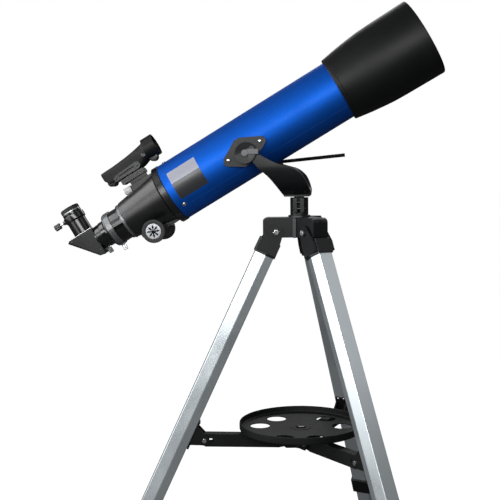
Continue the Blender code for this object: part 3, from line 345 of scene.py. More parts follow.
def copied(node, place):
    """The CAD node's shape in a frame, with its flat faces whole again."""
    mesh = NODES[node].data.copy()
    mesh.transform(place.inverted())
    shape = bmesh.new()
    shape.from_mesh(mesh)
    bpy.data.meshes.remove(mesh)
    bmesh.ops.remove_doubles(shape, verts=shape.verts, dist=2e-6)
    bmesh.ops.dissolve_limit(shape, angle_limit=math.radians(0.6), verts=shape.verts, edges=shape.edges)
    return shape


def eased(node, place, body, material, width, limit=34.0):
    """The CAD node again, with its edges eased and its round stretches smooth."""
    put(f"{node}_eased", copied(node, place), place, body, material, (node,), bevel=width, limit=limit)


def cross_screw(name, axis, base, height, radius, centre, sign, place, body, material, turn=0.0):
    """A pan head on a face, turned round the frame's X. The cutters of its cross have depth only with sign 1."""
    top = base + sign * height
    dome = turned(axis, ((base, radius), (base + sign * height * 0.45, radius),
                         (base + sign * height * 0.85, radius * 0.8), (top, radius * 0.45)), 24, centre)
    depth = (min(top, top - sign * height * 0.5), max(top, top + sign * height * 0.5))
    recess = []
    for wide, tall in ((0.55, 0.12), (0.12, 0.55)):
        p = (centre[0] - radius * wide, centre[0] + radius * wide)
        q = (centre[1] - radius * tall, centre[1] + radius * tall)
        corners = ((p[0], q[0]), (p[1], q[0]), (p[1], q[1]), (p[0], q[1]))
        recess.append(prism(axis, depth[0], depth[1], corners))
    put(name, turned_about(dome, "X", turn), place, body, material,
        cut=[turned_about(groove, "X", turn) for groove in recess])


def finish_node(node, material):
    for index in range(len(NODES[node].data.materials)):
        NODES[node].material_slots[index].material = material


# ---------------------------------------------------------------- tube, shield and objective

TUBE_R = 0.055
TUBE_REAR, TUBE_FRONT = -0.160, 0.222
SEAM_TURN = 40.0
TUBE_SCREW_X = -0.1465
LABEL_X = (-0.146, -0.088)
LABEL_THICK = 0.00016


def make_tube():
    put("tube_skin", ring("X", TUBE_REAR, TUBE_FRONT, 0.0535, TUBE_R, 128, edge=0.0003), TUBE, "tube",
        BLUE, ("optical_tube",))
    seam = block((TUBE_REAR + 0.001, 0.190), (-TUBE_R - 0.00018, -TUBE_R + 0.0004), (-0.0003, 0.0003), 0.0001)
    put("tube_seam", turned_about(seam, "X", SEAM_TURN), TUBE, "tube", SEAM)
    for index, degrees in enumerate((36.0, 156.0, 276.0), 1):
        centre = (TUBE_SCREW_X, 0.0)
        cross_screw(f"tube_screw_{index}", "Y", -TUBE_R + 0.0002, 0.0017, 0.0034, centre, -1, TUBE, "tube",
                    SILVER, degrees)
        washer = rod("Y", -TUBE_R - 0.0001, -TUBE_R + 0.0008, 0.0042, 24, centre, 0.0002)
        put(f"tube_washer_{index}", turned_about(washer, "X", degrees), TUBE, "tube", GREY)


def patch(x, start, end, radius, thick, steps=24):
    """A thin curved plate on the tube's near side, between two angles above the horizontal."""
    rings = []
    section = ((x[0], radius), (x[0], radius + thick), (x[1], radius + thick), (x[1], radius))
    for step in range(steps + 1):
        angle = math.radians(start + (end - start) * step / steps)
        rings.append([Vector((along, -r * math.cos(angle), r * math.sin(angle))) for along, r in section])
    return loft(rings)


def make_label():
    """The rear label, left plain, in two tones."""
    for name, start, end, tone in (("upper", 9.8, 34.0, LABEL_PALE), ("lower", -24.0, 9.6, LABEL_DARK)):
        half = patch(LABEL_X, start, end, TUBE_R, LABEL_THICK)
        put(f"label_{name}", half, TUBE, "tube", tone)


BAFFLES = 6
BAFFLE_FRONT, BAFFLE_PITCH, BAFFLE_TAPER = 0.245, 0.005, 0.0012


def make_shield():
    outer = [(0.1925, 0.0590), (0.1940, 0.0602), (0.1990, 0.0610), (0.1996, 0.0607), (0.2002, 0.0612),
             (0.226, 0.0652), (0.247, 0.0677), (0.268, 0.0697), (0.290, 0.0706), (0.340, 0.0715),
             (0.3655, 0.0719), (0.3678, 0.0716), (0.3685, 0.0708)]
    inner = [(0.3685, 0.0700), (0.3675, 0.0695), (0.290, 0.0682), (0.247, 0.0654)]
    for step in range(BAFFLES):
        along = BAFFLE_FRONT - BAFFLE_PITCH * step
        narrower = BAFFLE_TAPER * step
        inner += [(along, 0.0652 - narrower), (along - 0.0004, 0.0640 - narrower),
                  (along - 0.0012, 0.0640 - narrower), (along - 0.0016, 0.0650 - narrower)]
    inner += [(0.212, 0.0600), (0.210, 0.0558), (0.1930, 0.0556), (0.1925, 0.0560)]
    put("shield_shell", turned("X", outer + inner, 144, hollow=True), TUBE, "tube", PLASTIC,
        ("dew_shield",), sharp=30.0)
    lining = ((0.3640, 0.0694), (0.3640, 0.0697), (0.290, 0.0684), (0.290, 0.0680))
    put("shield_lining", turned("X", lining, 96, hollow=True), TUBE, "tube", MATT)


def make_objective():
    finish_node("objective_cell", PLASTIC)
    retainer = ring("X", 0.2522, 0.2555, 0.0485, 0.0575, 96, edge=0.0006)
    put("lens_retainer", retainer, TUBE, "tube", PLASTIC)
    for index, degrees in enumerate((60, 180, 300), 1):
        cross_screw(f"retainer_screw_{index}", "X", 0.2553, 0.0014, 0.0024, (0.0530, 0.0), 1, TUBE, "tube",
                    SILVER, degrees)
    finish_node("flint_lens", FLINT)
    finish_node("crown_lens", LENS)


# ---------------------------------------------------------------- focuser and visual back

CASTING_REAR = -0.2585
PINION = (-0.2195, -0.045)
SHOE_SCREW = (0.0, 0.0465)
COLLAR_SCREW = (-0.2915, 0.0)
ADAPTER_SCREW = (-0.3180, 0.0)
EYEPIECE_SCREW = (0.0, 0.0575)
RACK_SLOT = (-0.0052, 0.0052)


def screw_scallop():
    """The hollow behind the finder's thumbscrew, for its head."""
    return turned("X", ((-0.264, 0.0078), (-0.2229, 0.0078)), 32, SHOE_SCREW)


def make_focuser():
    outer = [(-0.1603, 0.0540), (-0.1603, 0.0557), (-0.1610, 0.0563), (-0.1718, 0.0563), (-0.1726, 0.0556),
             (-0.1730, 0.0480), (-0.1741, 0.0480), (-0.1746, 0.0486), (-0.1760, 0.0492), (-0.200, 0.0447),
             (-0.2565, 0.0364), (-0.2582, 0.0360), (CASTING_REAR, 0.0354)]
    inner = [(CASTING_REAR, 0.0341), (-0.194, 0.0341), (-0.172, 0.0450), (-0.1603, 0.0480)]
    channel = block((-0.275, -0.180), RACK_SLOT, (-0.0368, -0.029))
    seat = block((-0.2510, -0.1755), (-0.0151, 0.0151), (-0.070, -0.0362))
    well = block((-0.2325, -0.2065), (-0.0068, 0.0068), (-0.050, -0.028))
    shell = turned("X", outer + inner, 128, hollow=True)
    put("focuser_shell", shell, TUBE, "tube", CAST, ("focuser_casting",),
        cut=(channel, seat, well, screw_scallop()), sharp=30.0)

    sides = ((-0.2207, 0.0380), (-0.1745, 0.0380), (-0.1745, 0.0480), (-0.1715, 0.0500), (-0.2207, 0.0500))
    dovetail = ((-0.0103, 0.0484), (0.0103, 0.0484), (0.0085, 0.0520), (-0.0085, 0.0520))
    bore = turned("X", ((-0.2260, 0.0024), (-0.2100, 0.0024)), 24, SHOE_SCREW)
    put("finder_shoe", prism("Y", -0.016, 0.016, sides, 0.0008), TUBE, "tube", CAST,
        cut=(prism("X", -0.230, -0.160, dovetail), bore, screw_scallop()))

    lock_ring = ring("X", -0.2640, -0.2588, 0.0319, 0.0346, 96, edge=0.0008)
    notch = block((-0.270, -0.250), RACK_SLOT, (-0.040, -0.029))
    put("bush_ring", lock_ring, TUBE, "tube", GREY, cut=(notch,))
    finish_node("drawtube_bush", GLOSS)

    eased("pinion_housing", TUBE, "tube", CAST, 0.0009)
    for index, x in enumerate((-0.2445, -0.1835), 1):
        for side, name in SIDES:
            cross_screw(f"housing_screw_{index}_{name}", "Z", -0.0433, 0.0016, 0.0024, (x, side * 0.0105), -1,
                        TUBE, "tube", SILVER)
    cross_screw("tension_screw", "Z", -0.0492, 0.0022, 0.0032, (-0.1925, 0.0), -1, TUBE, "tube",
                SILVER)


def make_drawtube():
    finish_node("drawtube", GLOSS)
    knurl = rounded(((-0.2850, 0.0303), (-0.2850, 0.0334), (-0.2955, 0.0334), (-0.2955, 0.0303)), 0.0006)
    ribs = (-0.2948, -0.2857, 0.0004, 72, 0.0330)
    put("collar_ring", turned("X", knurl, 144, hollow=True, ribs=ribs), TUBE, "focus",
        GREY)
    rear = rounded(((-0.2957, 0.0300), (-0.2957, 0.0326), (-0.2985, 0.0322), (-0.3002, 0.0296),
                    (-0.3002, 0.0246), (-0.2975, 0.0240)), 0.0007)
    put("collar_rear", turned("X", rear, 96, hollow=True), TUBE, "focus", GLOSS)
    finish_node("drawtube_collar", GREY)

    outline = rounded(((-0.3003, 0.0165), (-0.3003, 0.0240), (-0.3030, 0.0246), (-0.3122, 0.0241),
                       (-0.3130, 0.0233), (-0.3220, 0.0226), (-0.3233, 0.0218), (-0.3233, 0.0165)), 0.0006)
    bore = turned("Z", ((-0.0300, 0.0021), (-0.0120, 0.0021)), 20, ADAPTER_SCREW)
    put("adapter_sleeve", turned("X", outline, 96, hollow=True), TUBE, "focus", GLOSS,
        ("eyepiece_adapter",), cut=(bore,))
    tail = ring("X", -0.3004, -0.2865, 0.0165, 0.0222, 64)
    put("adapter_tail", tail, TUBE, "focus", GLOSS)


def knurled(name, node, axis, neck, end, centre, shank_r, tip, head_r, teeth, material, shank_material):
    """A thumbscrew with a ribbed head and a plain shank."""
    low, high = sorted((neck, end))
    core = head_r * 0.35
    head = rounded(((low, core), (low, head_r), (high, head_r), (high, core)), 0.0008, False)
    ribs = (low + 0.0009, high - 0.0009, head_r * 0.09, teeth, head_r * 0.9)
    profile = head + [(low + (high - low) * t, head_r) for t in (0.12, 0.14, 0.86, 0.88)]
    profile.sort(key=lambda point: point[0])
    put(name, turned(axis, profile, teeth * 4, centre, ribs=ribs), TUBE, node, material, (node,))
    shank = rod(axis, min(neck, tip), max(neck, tip), shank_r, 20, centre, 0.0002)
    put(f"{name}_shank", shank, TUBE, node, shank_material)


def make_screws():
    knurled("shoe_thumbscrew", "shoe_screw", "X", -0.2232, -0.2380, SHOE_SCREW, 0.0020, -0.2110, 0.0065, 18,
            PALE, PALE)
    knurled("collar_thumbscrew", "drawtube_screw", "Z", -0.0342, -0.0445, COLLAR_SCREW, 0.0020, -0.0228,
            0.0038, 14, SILVER, SILVER)
    knurled("adapter_thumbscrew", "adapter_screw", "Z", -0.0248, -0.0350, ADAPTER_SCREW, 0.0018, -0.0165,
            0.0045, 16, GREY, GREY)
    knurled("eyepiece_thumbscrew", "eyepiece_screw", "X", -0.3765, -0.3880, EYEPIECE_SCREW, 0.0020, -0.3612,
            0.0060, 16, GLOSS, SILVER)


KNOB_INNER, KNOB_FACE = 0.0362, 0.0520
RAYS = 8


def knob_rays(side):
    """The star on a knob's disc."""
    low, high = span(side, KNOB_FACE - 0.0003, KNOB_FACE + 0.00015)
    petal = ((0.0040, -0.0009), (0.0080, -0.0018), (0.0117, -0.0004), (0.0117, 0.0004), (0.0080, 0.0018),
             (0.0040, 0.0009))
    rays = []
    for index in range(RAYS):
        turn = math.tau * (index + 0.5) / RAYS
        out = Vector((math.cos(turn), math.sin(turn)))
        across = Vector((-math.sin(turn), math.cos(turn)))
        rays.append(prism("Y", low, high, [tuple(Vector(PINION) + out * r + across * w) for r, w in petal]))
    return joined(*rays)


def make_knobs():
    finish_node("pinion_shaft", SILVER)
    for side, name in SIDES:
        node = f"focus_knob_{name}"
        inner = side * KNOB_INNER
        face = side * KNOB_FACE
        grip = [(inner, 0.0035), (inner, 0.0150), (inner + side * 0.0015, 0.0195),
                (inner + side * 0.0035, 0.0213), (face - side * 0.0022, 0.0215),
                (face - side * 0.0006, 0.0208), (face, 0.0195), (face - side * 0.0004, 0.0148),
                (face - side * 0.0012, 0.0138), (face - side * 0.0012, 0.0035)]
        ribs = (*sorted((inner + side * 0.0034, face - side * 0.0021)), 0.0006, 36, 0.0205)
        put(f"{node}_grip", turned("Y", grip, 144, PINION, True, ribs), TUBE, "pinion", RUBBER, (node,))
        disc = ((face - side * 0.0018, 0.0138), (face - side * 0.0005, 0.0138),
                (face - side * 0.0002, 0.0133), (face - side * 0.0002, 0.0020),
                (face - side * 0.0018, 0.0020))
        put(f"{node}_disc", turned("Y", disc, 72, PINION, True), TUBE, "pinion", DISC)
        put(f"{node}_rays", knob_rays(side), TUBE, "pinion", GLOSS)
        hub = ((face - side * 0.0010, 0.0043), (face + side * 0.0004, 0.0043), (face + side * 0.0009, 0.0036),
               (face + side * 0.0009, 0.0016), (face - side * 0.0004, 0.0012))
        put(f"{node}_hub", turned("Y", hub, 36, PINION), TUBE, "pinion", GLOSS)
        neck = span(side, 0.0150, 0.0365)
        put(f"{node}_neck", rod("Y", *neck, 0.0055, 32, PINION), TUBE, "pinion", PLASTIC)


EYEPIECE = (-0.345, 0.0)
DIAGONAL_HALF = 0.0190


def eyepiece_screw_bore():
    return turned("X", ((-0.3730, 0.0022), (-0.3560, 0.0022)), 20, EYEPIECE_SCREW)


def make_diagonal():
    sides = rounded(((-0.3238, 0.0226), (-0.3735, 0.0226), (-0.3757, 0.0196), (-0.3345, -0.0288),
                     (-0.3325, -0.0295), (-0.3238, -0.0295)), 0.0010)
    put("diagonal_shell", prism("Y", -DIAGONAL_HALF, DIAGONAL_HALF, sides, 0.0006), TUBE, "diagonal",
        CAST, ("diagonal_housing",))
    put("diagonal_barrel_front", ring("X", -0.3245, -0.2990, 0.0145, 0.0158, 72), TUBE, "diagonal",
        SILVER)
    plate = rounded(((-0.3752, 0.0206), (-0.3770, 0.0192), (-0.3350, -0.0304), (-0.3334, -0.0290)), 0.0008)
    put("diagonal_cover", prism("Y", -DIAGONAL_HALF, DIAGONAL_HALF, plate, 0.0004), TUBE, "diagonal",
        GLOSS)
    for side, name in SIDES:
        trim = block((-0.3685, -0.3242), span(side, 0.0174, 0.0196), (0.0219, 0.0235), 0.0002)
        put(f"diagonal_trim_{name}", trim, TUBE, "diagonal", SILVER)
        for index, centre in enumerate(((-0.3285, -0.0215), (-0.3685, 0.0172)), 1):
            cross_screw(f"diagonal_screw_{name}_{index}", "Y", side * 0.0188, 0.0009, 0.0018, centre, side,
                        TUBE, "diagonal", GLOSS)
    nose = ring("X", -0.3262, -0.3236, 0.0166, 0.0205, 72, edge=0.0006)
    put("diagonal_nose_ring", nose, TUBE, "diagonal", GLOSS)
    finish_node("diagonal_prism", FLINT)

    holder = [(0.0229, 0.0163), (0.0229, 0.0186), (0.0240, 0.0186), (0.0246, 0.0180), (0.0500, 0.0180),
              (0.0520, 0.0200), (0.0530, 0.0204), (0.0618, 0.0204), (0.0628, 0.0198), (0.0630, 0.0190),
              (0.0630, 0.0163)]
    put("eyepiece_holder", turned("Z", holder, 96, EYEPIECE, True), TUBE, "diagonal",
        GLOSS, ("diagonal_barrel",), cut=(eyepiece_screw_bore(),))
    boss = turned("X", ((-0.3695, 0.0034), (-0.3690, 0.0038), (-0.3640, 0.0042)), 32, EYEPIECE_SCREW)
    put("holder_boss", boss, TUBE, "diagonal", GLOSS, cut=(eyepiece_screw_bore(),))


def make_eyepiece():
    barrel = ring("Z", 0.0300, 0.0640, 0.0145, 0.0158, 96, EYEPIECE, 0.0005)
    put("eyepiece_barrel", barrel, TUBE, "eyepiece", SILVER, ("eyepiece",))
    skirt = rounded(((0.0636, 0.0125), (0.0636, 0.0176), (0.0648, 0.0184), (0.0676, 0.0184),
                     (0.0676, 0.0125)), 0.0003)
    put("eyepiece_skirt", turned("Z", skirt, 96, EYEPIECE, True), TUBE, "eyepiece", GLOSS)
    band = ring("Z", 0.0677, 0.0701, 0.0125, 0.0182, 96, EYEPIECE)
    put("eyepiece_band", band, TUBE, "eyepiece", DULL)
    grip = rounded(((0.0702, 0.0122), (0.0702, 0.0184), (0.0755, 0.0184), (0.0755, 0.0122)), 0.0006)
    ribs = (0.0706, 0.0751, 0.0004, 48, 0.0181)
    put("eyepiece_grip", turned("Z", grip, 144, EYEPIECE, True, ribs), TUBE, "eyepiece", RUBBER)
    eyecup = rounded(((0.0756, 0.0122), (0.0756, 0.0181), (0.0768, 0.0180), (0.0777, 0.0168),
                      (0.0779, 0.0150), (0.0772, 0.0128)), 0.0005)
    put("eyecup", turned("Z", eyecup, 96, EYEPIECE, True), TUBE, "eyepiece", RUBBER)
    finish_node("eyepiece_lens", LENS)


# ---------------------------------------------------------------- finder

FINDER_AXIS = (0.0, 0.0925)
# Along the tube: the body's underside, its top, its half width and how round it is
FINDER_STATIONS = ((-0.2580, 0.0815, 0.0962, 0.0122, 0.3), (-0.2572, 0.0805, 0.0972, 0.0130, 0.2),
                   (-0.2500, 0.0700, 0.0975, 0.0145, 0.15), (-0.2350, 0.0688, 0.0977, 0.0146, 0.12),
                   (-0.2200, 0.0683, 0.0985, 0.0148, 0.12), (-0.2000, 0.0683, 0.1002, 0.0150, 0.20),
                   (-0.1900, 0.0683, 0.1016, 0.0154, 0.35), (-0.1840, 0.0683, 0.1027, 0.0160, 0.55),
                   (-0.1780, 0.0690, 0.1040, 0.0166, 0.75), (-0.1720, 0.0708, 0.1055, 0.0173, 0.90),
                   (-0.1660, 0.0722, 0.1072, 0.0180, 1.0), (-0.1600, 0.0728, 0.1100, 0.0188, 1.0))
SIGHT_START, SIGHT_LENGTH, SIGHT_RISE = -0.262, 0.099, 0.0045


def finder_ring(x, low, high, half, roundness, count=56):
    """A section of the finder's body, between a rounded box and an ellipse."""
    middle, tall = (low + high) / 2, (high - low) / 2
    power = 2 + 6 * (1 - roundness)
    points = []
    for turn in (math.tau * (i + 0.5) / count for i in range(count)):
        c, s = math.cos(turn), math.sin(turn)
        reach = (abs(c) ** power + abs(s) ** power) ** (-1 / power)
        points.append(Vector((x, half * c * reach, middle + tall * s * reach)))
    return points


def finder_wheel(name, half, radius, depth, centre):
    """A ribbed wheel across the finder's underside."""
    rim = rounded(((-half, 0.0030), (-half, radius), (half, radius), (half, 0.0030)), 0.0008, False)
    ribs = (-half + 0.0010, half - 0.0010, 0.0006, 24, depth)
    put(name, turned("Y", rim, 96, centre, ribs=ribs), TUBE, "tube", GLOSS)


def make_finder():
    body = loft([finder_ring(*station) for station in FINDER_STATIONS])
    sight = turned("X", ((SIGHT_START, 0.0045), (-0.163, 0.0130), (-0.1540, 0.0160)), 32, (0.0, 0.088))
    for vert in sight.verts:
        vert.co.z += SIGHT_RISE * (vert.co.x - SIGHT_START) / SIGHT_LENGTH
    put("finder_shell", body, TUBE, "tube", PLASTIC, ("finder_body",), cut=(sight,),
        sharp=32.0)
    hood = rounded(((-0.1632, 0.0165), (-0.1632, 0.0205), (-0.1410, 0.0205), (-0.1410, 0.0187),
                    (-0.1535, 0.0183), (-0.1535, 0.0165)), 0.0007)
    put("finder_hood", turned("X", hood, 96, FINDER_AXIS, True), TUBE, "tube", PLASTIC)
    rim = ring("X", -0.1506, -0.1497, 0.0172, 0.0186, 72, FINDER_AXIS, 0.0002)
    put("finder_lens_rim", rim, TUBE, "tube", MATT)
    finish_node("finder_window", AMBER)
    finder_wheel("finder_wheel", 0.0132, 0.0076, 0.0070, (-0.2475, 0.0735))
    finder_wheel("finder_adjuster", 0.0092, 0.0080, 0.0074, (-0.1570, 0.0740))
    for side, name in SIDES:
        make_finder_side(side, name)
    eased("finder_foot", TUBE, "tube", CAST, 0.0006)
    lens = ring("X", -0.2586, -0.2574, 0.0052, 0.0072, 40, (0.0, 0.0884), 0.0003)
    put("finder_eye_ring", lens, TUBE, "tube", GLOSS)


def make_finder_side(side, name):
    """The slotted rail, its screws, the lamp's cap and the jaw on one side of the finder."""
    bar = rounded(((-0.2400, 0.0695), (-0.1880, 0.0695), (-0.1830, 0.0725), (-0.1830, 0.0800),
                   (-0.1880, 0.0830), (-0.2350, 0.0800), (-0.2400, 0.0770)), 0.0015)
    slot = rounded(((-0.2290, 0.0745), (-0.1950, 0.0760), (-0.1950, 0.0785), (-0.2290, 0.0768)), 0.0010)
    low, high = span(side, 0.0146, 0.0163)
    put(f"finder_side_rail_{name}", prism("Y", low, high, bar, 0.0004), TUBE, "tube", CAST,
        cut=(prism("Y", low - 0.002, high + 0.002, slot),))
    for index, centre in enumerate(((-0.2355, 0.0745), (-0.1885, 0.0760)), 1):
        cross_screw(f"finder_screw_{name}_{index}", "Y", side * 0.0161, 0.0010, 0.0019, centre, side, TUBE,
                    "tube", GLOSS)
    lamp = ((side * 0.0150, 0.0044), (side * 0.0172, 0.0044), (side * 0.0176, 0.0038))
    cap = turned("Y", lamp, 40, (-0.1690, 0.0860))
    put(f"finder_lamp_cap_{name}", cap, TUBE, "tube", CAST)
    jaw = rounded(((-0.2315, 0.0585), (-0.1850, 0.0585), (-0.1835, 0.0600), (-0.1835, 0.0660),
                   (-0.2315, 0.0660)), 0.0010)
    put(f"finder_jaw_{name}", prism("Y", *span(side, 0.0118, 0.0142), jaw, 0.0004), TUBE, "tube",
        CAST)


# ---------------------------------------------------------------- side brackets, yoke and slow motion

HUB = (-0.003, -0.0135)
BRACKET_Z = -0.0080
POST_BOLT_Y = -0.0178
HINGE_PIN = (0.0435, -0.0135)
HEAD_HALF = 0.0172


def make_brackets():
    for side, name in SIDES:
        node = f"bracket_{name}"
        eased(node, TUBE, "tube", MOUNT_BLACK, 0.0008)
        for index, x in enumerate((-0.0360, 0.0290), 1):
            centre = (x, BRACKET_Z)
            cross_screw(f"bracket_screw_{name}_{index}", "Y", side * 0.0583, 0.0019, 0.0031, centre, side,
                        TUBE, "tube", SILVER)
            rim = ((side * 0.0575, 0.0046), (side * 0.0590, 0.0046), (side * 0.0592, 0.0042))
            seat = turned("Y", rim, 40, centre)
            put(f"bracket_seat_{name}_{index}", seat, TUBE, "tube", MOUNT_BLACK)
        cup = ring("Y", *span(side, 0.0590, 0.0608), 0.0186, 0.0199, 72, HUB, 0.0005)
        below = block((-0.060, 0.060), span(side, 0.05, 0.07), (-0.060, HUB[1]), 0.0001)
        put(f"bracket_cup_{name}", cup, TUBE, "tube", MOUNT_BLACK, cut=(below,))


def make_yoke():
    eased("yoke", MOUNT, "yoke", MOUNT_BLACK, 0.0016, limit=40.0)
    for _, name in SIDES:
        eased(f"pivot_bolt_{name}", MOUNT, "yoke", TAB_GREY, 0.0004)
    finish_node("slow_motion_rod", GLOSS)
    eased("rod_clamp", MOUNT, "rod_clamp", MOUNT_BLACK, 0.0006)
    finish_node("rod_anchor", GLOSS)


def make_post():
    eased("azimuth_post", MOUNT, "head", MOUNT_BLACK, 0.0006)
    for side, name in SIDES:
        cheek = block(span(side, 0.0028, 0.0098), (-0.0215, -0.0140), (0.0215, 0.0470), 0.0010)
        put(f"post_cheek_{name}", cheek, MOUNT, "head", MOUNT_BLACK)
    for index, z in enumerate((0.0285, 0.0400), 1):
        centre = (POST_BOLT_Y, z)
        shank = rod("X", -0.0118, 0.0118, 0.0022, 24, centre, 0.0002)
        put(f"post_bolt_{index}", shank, MOUNT, "head", GLOSS)
        for side, name in SIDES:
            hexagon = turned("X", [(x, 0.0038) for x in span(side, 0.0098, 0.0122)], 6, centre)
            put(f"post_nut_{index}_{name}", hexagon, MOUNT, "head", GLOSS, bevel=0.0003)


def make_head():
    eased("tripod_head", MOUNT, "head", MOUNT_BLACK, 0.0012)
    plate = []
    for index in HINGE_LEGS:
        turn = math.degrees(radial_azimuth(JOINTS[f"leg_{index}_fold"]))
        arm = block((0.0, 0.0585), (-0.0168, 0.0168), (0.0121, 0.0131), 0.0004)
        plate.append(turned_about(arm, "Z", turn))
    put("head_plate", joined(*plate), MOUNT, "head", CAST)
    for index in HINGE_LEGS:
        place = head_arm_frame(index)
        for side, name in SIDES:
            washer = ring("Y", *span(side, 0.0212, 0.0222), 0.0041, 0.0075, 40, HINGE_PIN, 0.0002)
            put(f"hinge_washer_{index}_{name}", washer, place, "head", MOUNT_BLACK)
            hexagon = turned("Y", [(y, 0.0054) for y in span(side, 0.0222, 0.0252)], 6, HINGE_PIN)
            put(f"hinge_bolt_{index}_{name}", hexagon, place, "head", SILVER, bevel=0.0005)
        # A lighter bar on the corner where two side plates meet: a painted highlight along that edge
        bar = block((-0.0030, 0.0030), (-0.0030, 0.0030), (-0.0240, 0.0112), 0.0008)
        corner = turned_about(bar, "Z", -15)
        spot = Matrix.Translation(Vector((HEAD_HALF / math.tan(math.radians(60)), HEAD_HALF, 0.0)))
        put(f"head_corner_highlight_{index}", moved(corner, spot), place, "head", CORNER_HIGHLIGHT_GREY)
        rib = block((0.0300, 0.0664), (-0.0018, 0.0018), (-0.0200, 0.0090), 0.0006)
        put(f"head_rib_{index}", rib, place, "head", MOUNT_BLACK)


# ---------------------------------------------------------------- legs, spreader and tray

LEG_SECTION = ((0.020, 0.013), (0.0, 0.0187), (-0.0155, 0.0155))  # outward, half width
CAP_END = -0.046
LEG_TOP, COLLAR_TOP, LEG_END = -0.020, -0.598, -0.632
LOWER_LEG_TOP, LOWER_LEG_END = -0.190, -0.712
EAR_R = 0.0130
EAR_BASE = -0.0240
SPREADER_PIN = (-0.0395, -0.404)
SPREADER_PIN_R = 0.0040
RIVET_ZS = (-0.379, -0.429)
LOCK = (0.0, -0.615)


def leg_ring(z, grow):
    """The leg's six-sided section at a height, larger by an allowance."""
    points = [(x + grow * ((x > 0) - (x < 0)), half + grow) for x, half in LEG_SECTION]
    outline = rounded(points + [(x, -half) for x, half in reversed(points)], 0.0012, steps=2)
    return [Vector((x, y, z)) for x, y in outline]


def make_cap(index, place, leg):
    """The moulded end of a leg: a socket on the tube and two wide ears on the hinge pin."""
    sleeve = loft([leg_ring(-0.0186, 0.0016), leg_ring(-0.0192, 0.0022), leg_ring(CAP_END + 0.0008, 0.0025),
                   leg_ring(CAP_END, 0.0020)])
    socket = loft([leg_ring(-0.0198, 0.0003), leg_ring(CAP_END - 0.001, 0.0003)])
    put(f"cap_sleeve_{index}", sleeve, place, leg, MOUNT_BLACK, (f"leg_cap_{index}",),
        (socket,))
    outline = [(0.0205, CAP_END + 0.004), (0.0205, EAR_BASE)]
    for turn in range(0, 181, 15):
        outline.append((EAR_R * math.cos(math.radians(turn)), EAR_R * math.sin(math.radians(turn))))
    outline += [(-0.0168, EAR_BASE), (-0.0168, CAP_END + 0.004)]
    for side, name in SIDES:
        low, high = span(side, 0.0166, 0.0211)
        hole = turned("Y", ((low - 0.002, 0.0042), (high + 0.002, 0.0042)), 24)
        window = block((-0.0160, 0.0200), (-0.0192, 0.0192), (CAP_END - 0.001, LEG_TOP), 0.0002)
        put(f"cap_ear_{index}_{name}", prism("Y", low, high, outline, 0.0006), place, leg,
            MOUNT_BLACK, cut=(hole, window))


def spreader_pin(name, side, centre, place, body):
    end = turned("Y", [(y, SPREADER_PIN_R) for y in span(side, 0.0122, 0.0140)], 32, centre)
    put(name, end, place, body, SILVER, bevel=0.0004)


def make_lock(index, place):
    """The knob that locks a leg's extension."""
    lock = f"leg_lock_{index}"
    knob = rounded(((0.0233, 0.0040), (0.0233, 0.0095), (0.0245, 0.0105), (0.0358, 0.0105), (0.0368, 0.0092),
                    (0.0368, 0.0040)), 0.0008, False)
    ribs = (0.0250, 0.0352, 0.0009, 24, 0.0100)
    put(f"lock_knob_{index}", turned("X", knob, 96, LOCK, ribs=ribs), place, lock, RUBBER, (lock,))
    stud = turned("X", ((0.0186, 0.0030), (0.0235, 0.0030)), 20, LOCK)
    put(f"lock_stud_{index}", stud, place, lock, SILVER)


def make_legs():
    for index in HINGE_LEGS:
        place = leg_frame(index)
        leg, lower = f"leg_{index}", f"lower_leg_{index}"
        tube = [leg_ring(LEG_TOP, 0.0), leg_ring(LEG_END + 0.001, 0.0), leg_ring(LEG_END + 0.001, -0.0015),
                leg_ring(LEG_TOP, -0.0015)]
        put(f"upper_leg_{index}_tube", loft(tube, True), place, leg, LEG,
            (f"upper_leg_{index}",), sharp=6.0)
        collar = [leg_ring(COLLAR_TOP, 0.0003), leg_ring(COLLAR_TOP - 0.0003, 0.0016),
                  leg_ring(COLLAR_TOP - 0.0018, 0.0029), leg_ring(LEG_END + 0.0012, 0.0029),
                  leg_ring(LEG_END, 0.0020), leg_ring(LEG_END, 0.0002), leg_ring(COLLAR_TOP, 0.0002)]
        put(f"leg_collar_{index}", loft(collar, True), place, leg, PLASTIC, sharp=30.0)
        make_cap(index, place, leg)
        eased(f"leg_bracket_{index}", place, leg, PLASTIC, 0.0006)
        tube = [leg_ring(LOWER_LEG_TOP, -0.0018), leg_ring(LOWER_LEG_END, -0.0018),
                leg_ring(LOWER_LEG_END, -0.0031), leg_ring(LOWER_LEG_TOP, -0.0031)]
        put(f"lower_leg_{index}_tube", loft(tube, True), place, lower, LEG,
            (f"lower_leg_{index}",), sharp=6.0)
        eased(f"foot_{index}", place, lower, RUBBER, 0.0012)
        for side, name in SIDES:
            for number, z in enumerate(RIVET_ZS, 1):
                cross_screw(f"bracket_rivet_{index}_{number}_{name}", "X", -0.0189, 0.0012, 0.0022,
                            (side * 0.0060, z), -1, place, leg, SILVER)
            spreader_pin(f"spreader_pin_{index}_{name}", side, SPREADER_PIN, place, leg)
        make_lock(index, place)


def make_spreader():
    eased("spreader_hub", MOUNT, "spreader", PLASTIC, 0.0005)
    eased("accessory_tray", MOUNT, "spreader", PLASTIC, 0.0005)
    put("tray_dish", ring("Z", -0.3772, -0.3764, 0.0100, 0.0195, 72, edge=0.0003), MOUNT, "spreader",
        PLASTIC)
    screw = ((-0.3786, 0.0085), (-0.3745, 0.0085), (-0.3738, 0.0070), (-0.3736, 0.0030))
    put("tray_screw", turned("Z", screw, 40), MOUNT, "spreader", GLOSS)
    for index in HINGE_LEGS:
        arm = f"spreader_arm_{index}"
        eased(arm, arm_frame(index), arm, PLASTIC, 0.0006)
        for side, name in SIDES:
            spreader_pin(f"hub_pin_{index}_{name}", side, (0.0, 0.0), hub_pin_frame(index), "spreader")


# ---------------------------------------------------------------- stage

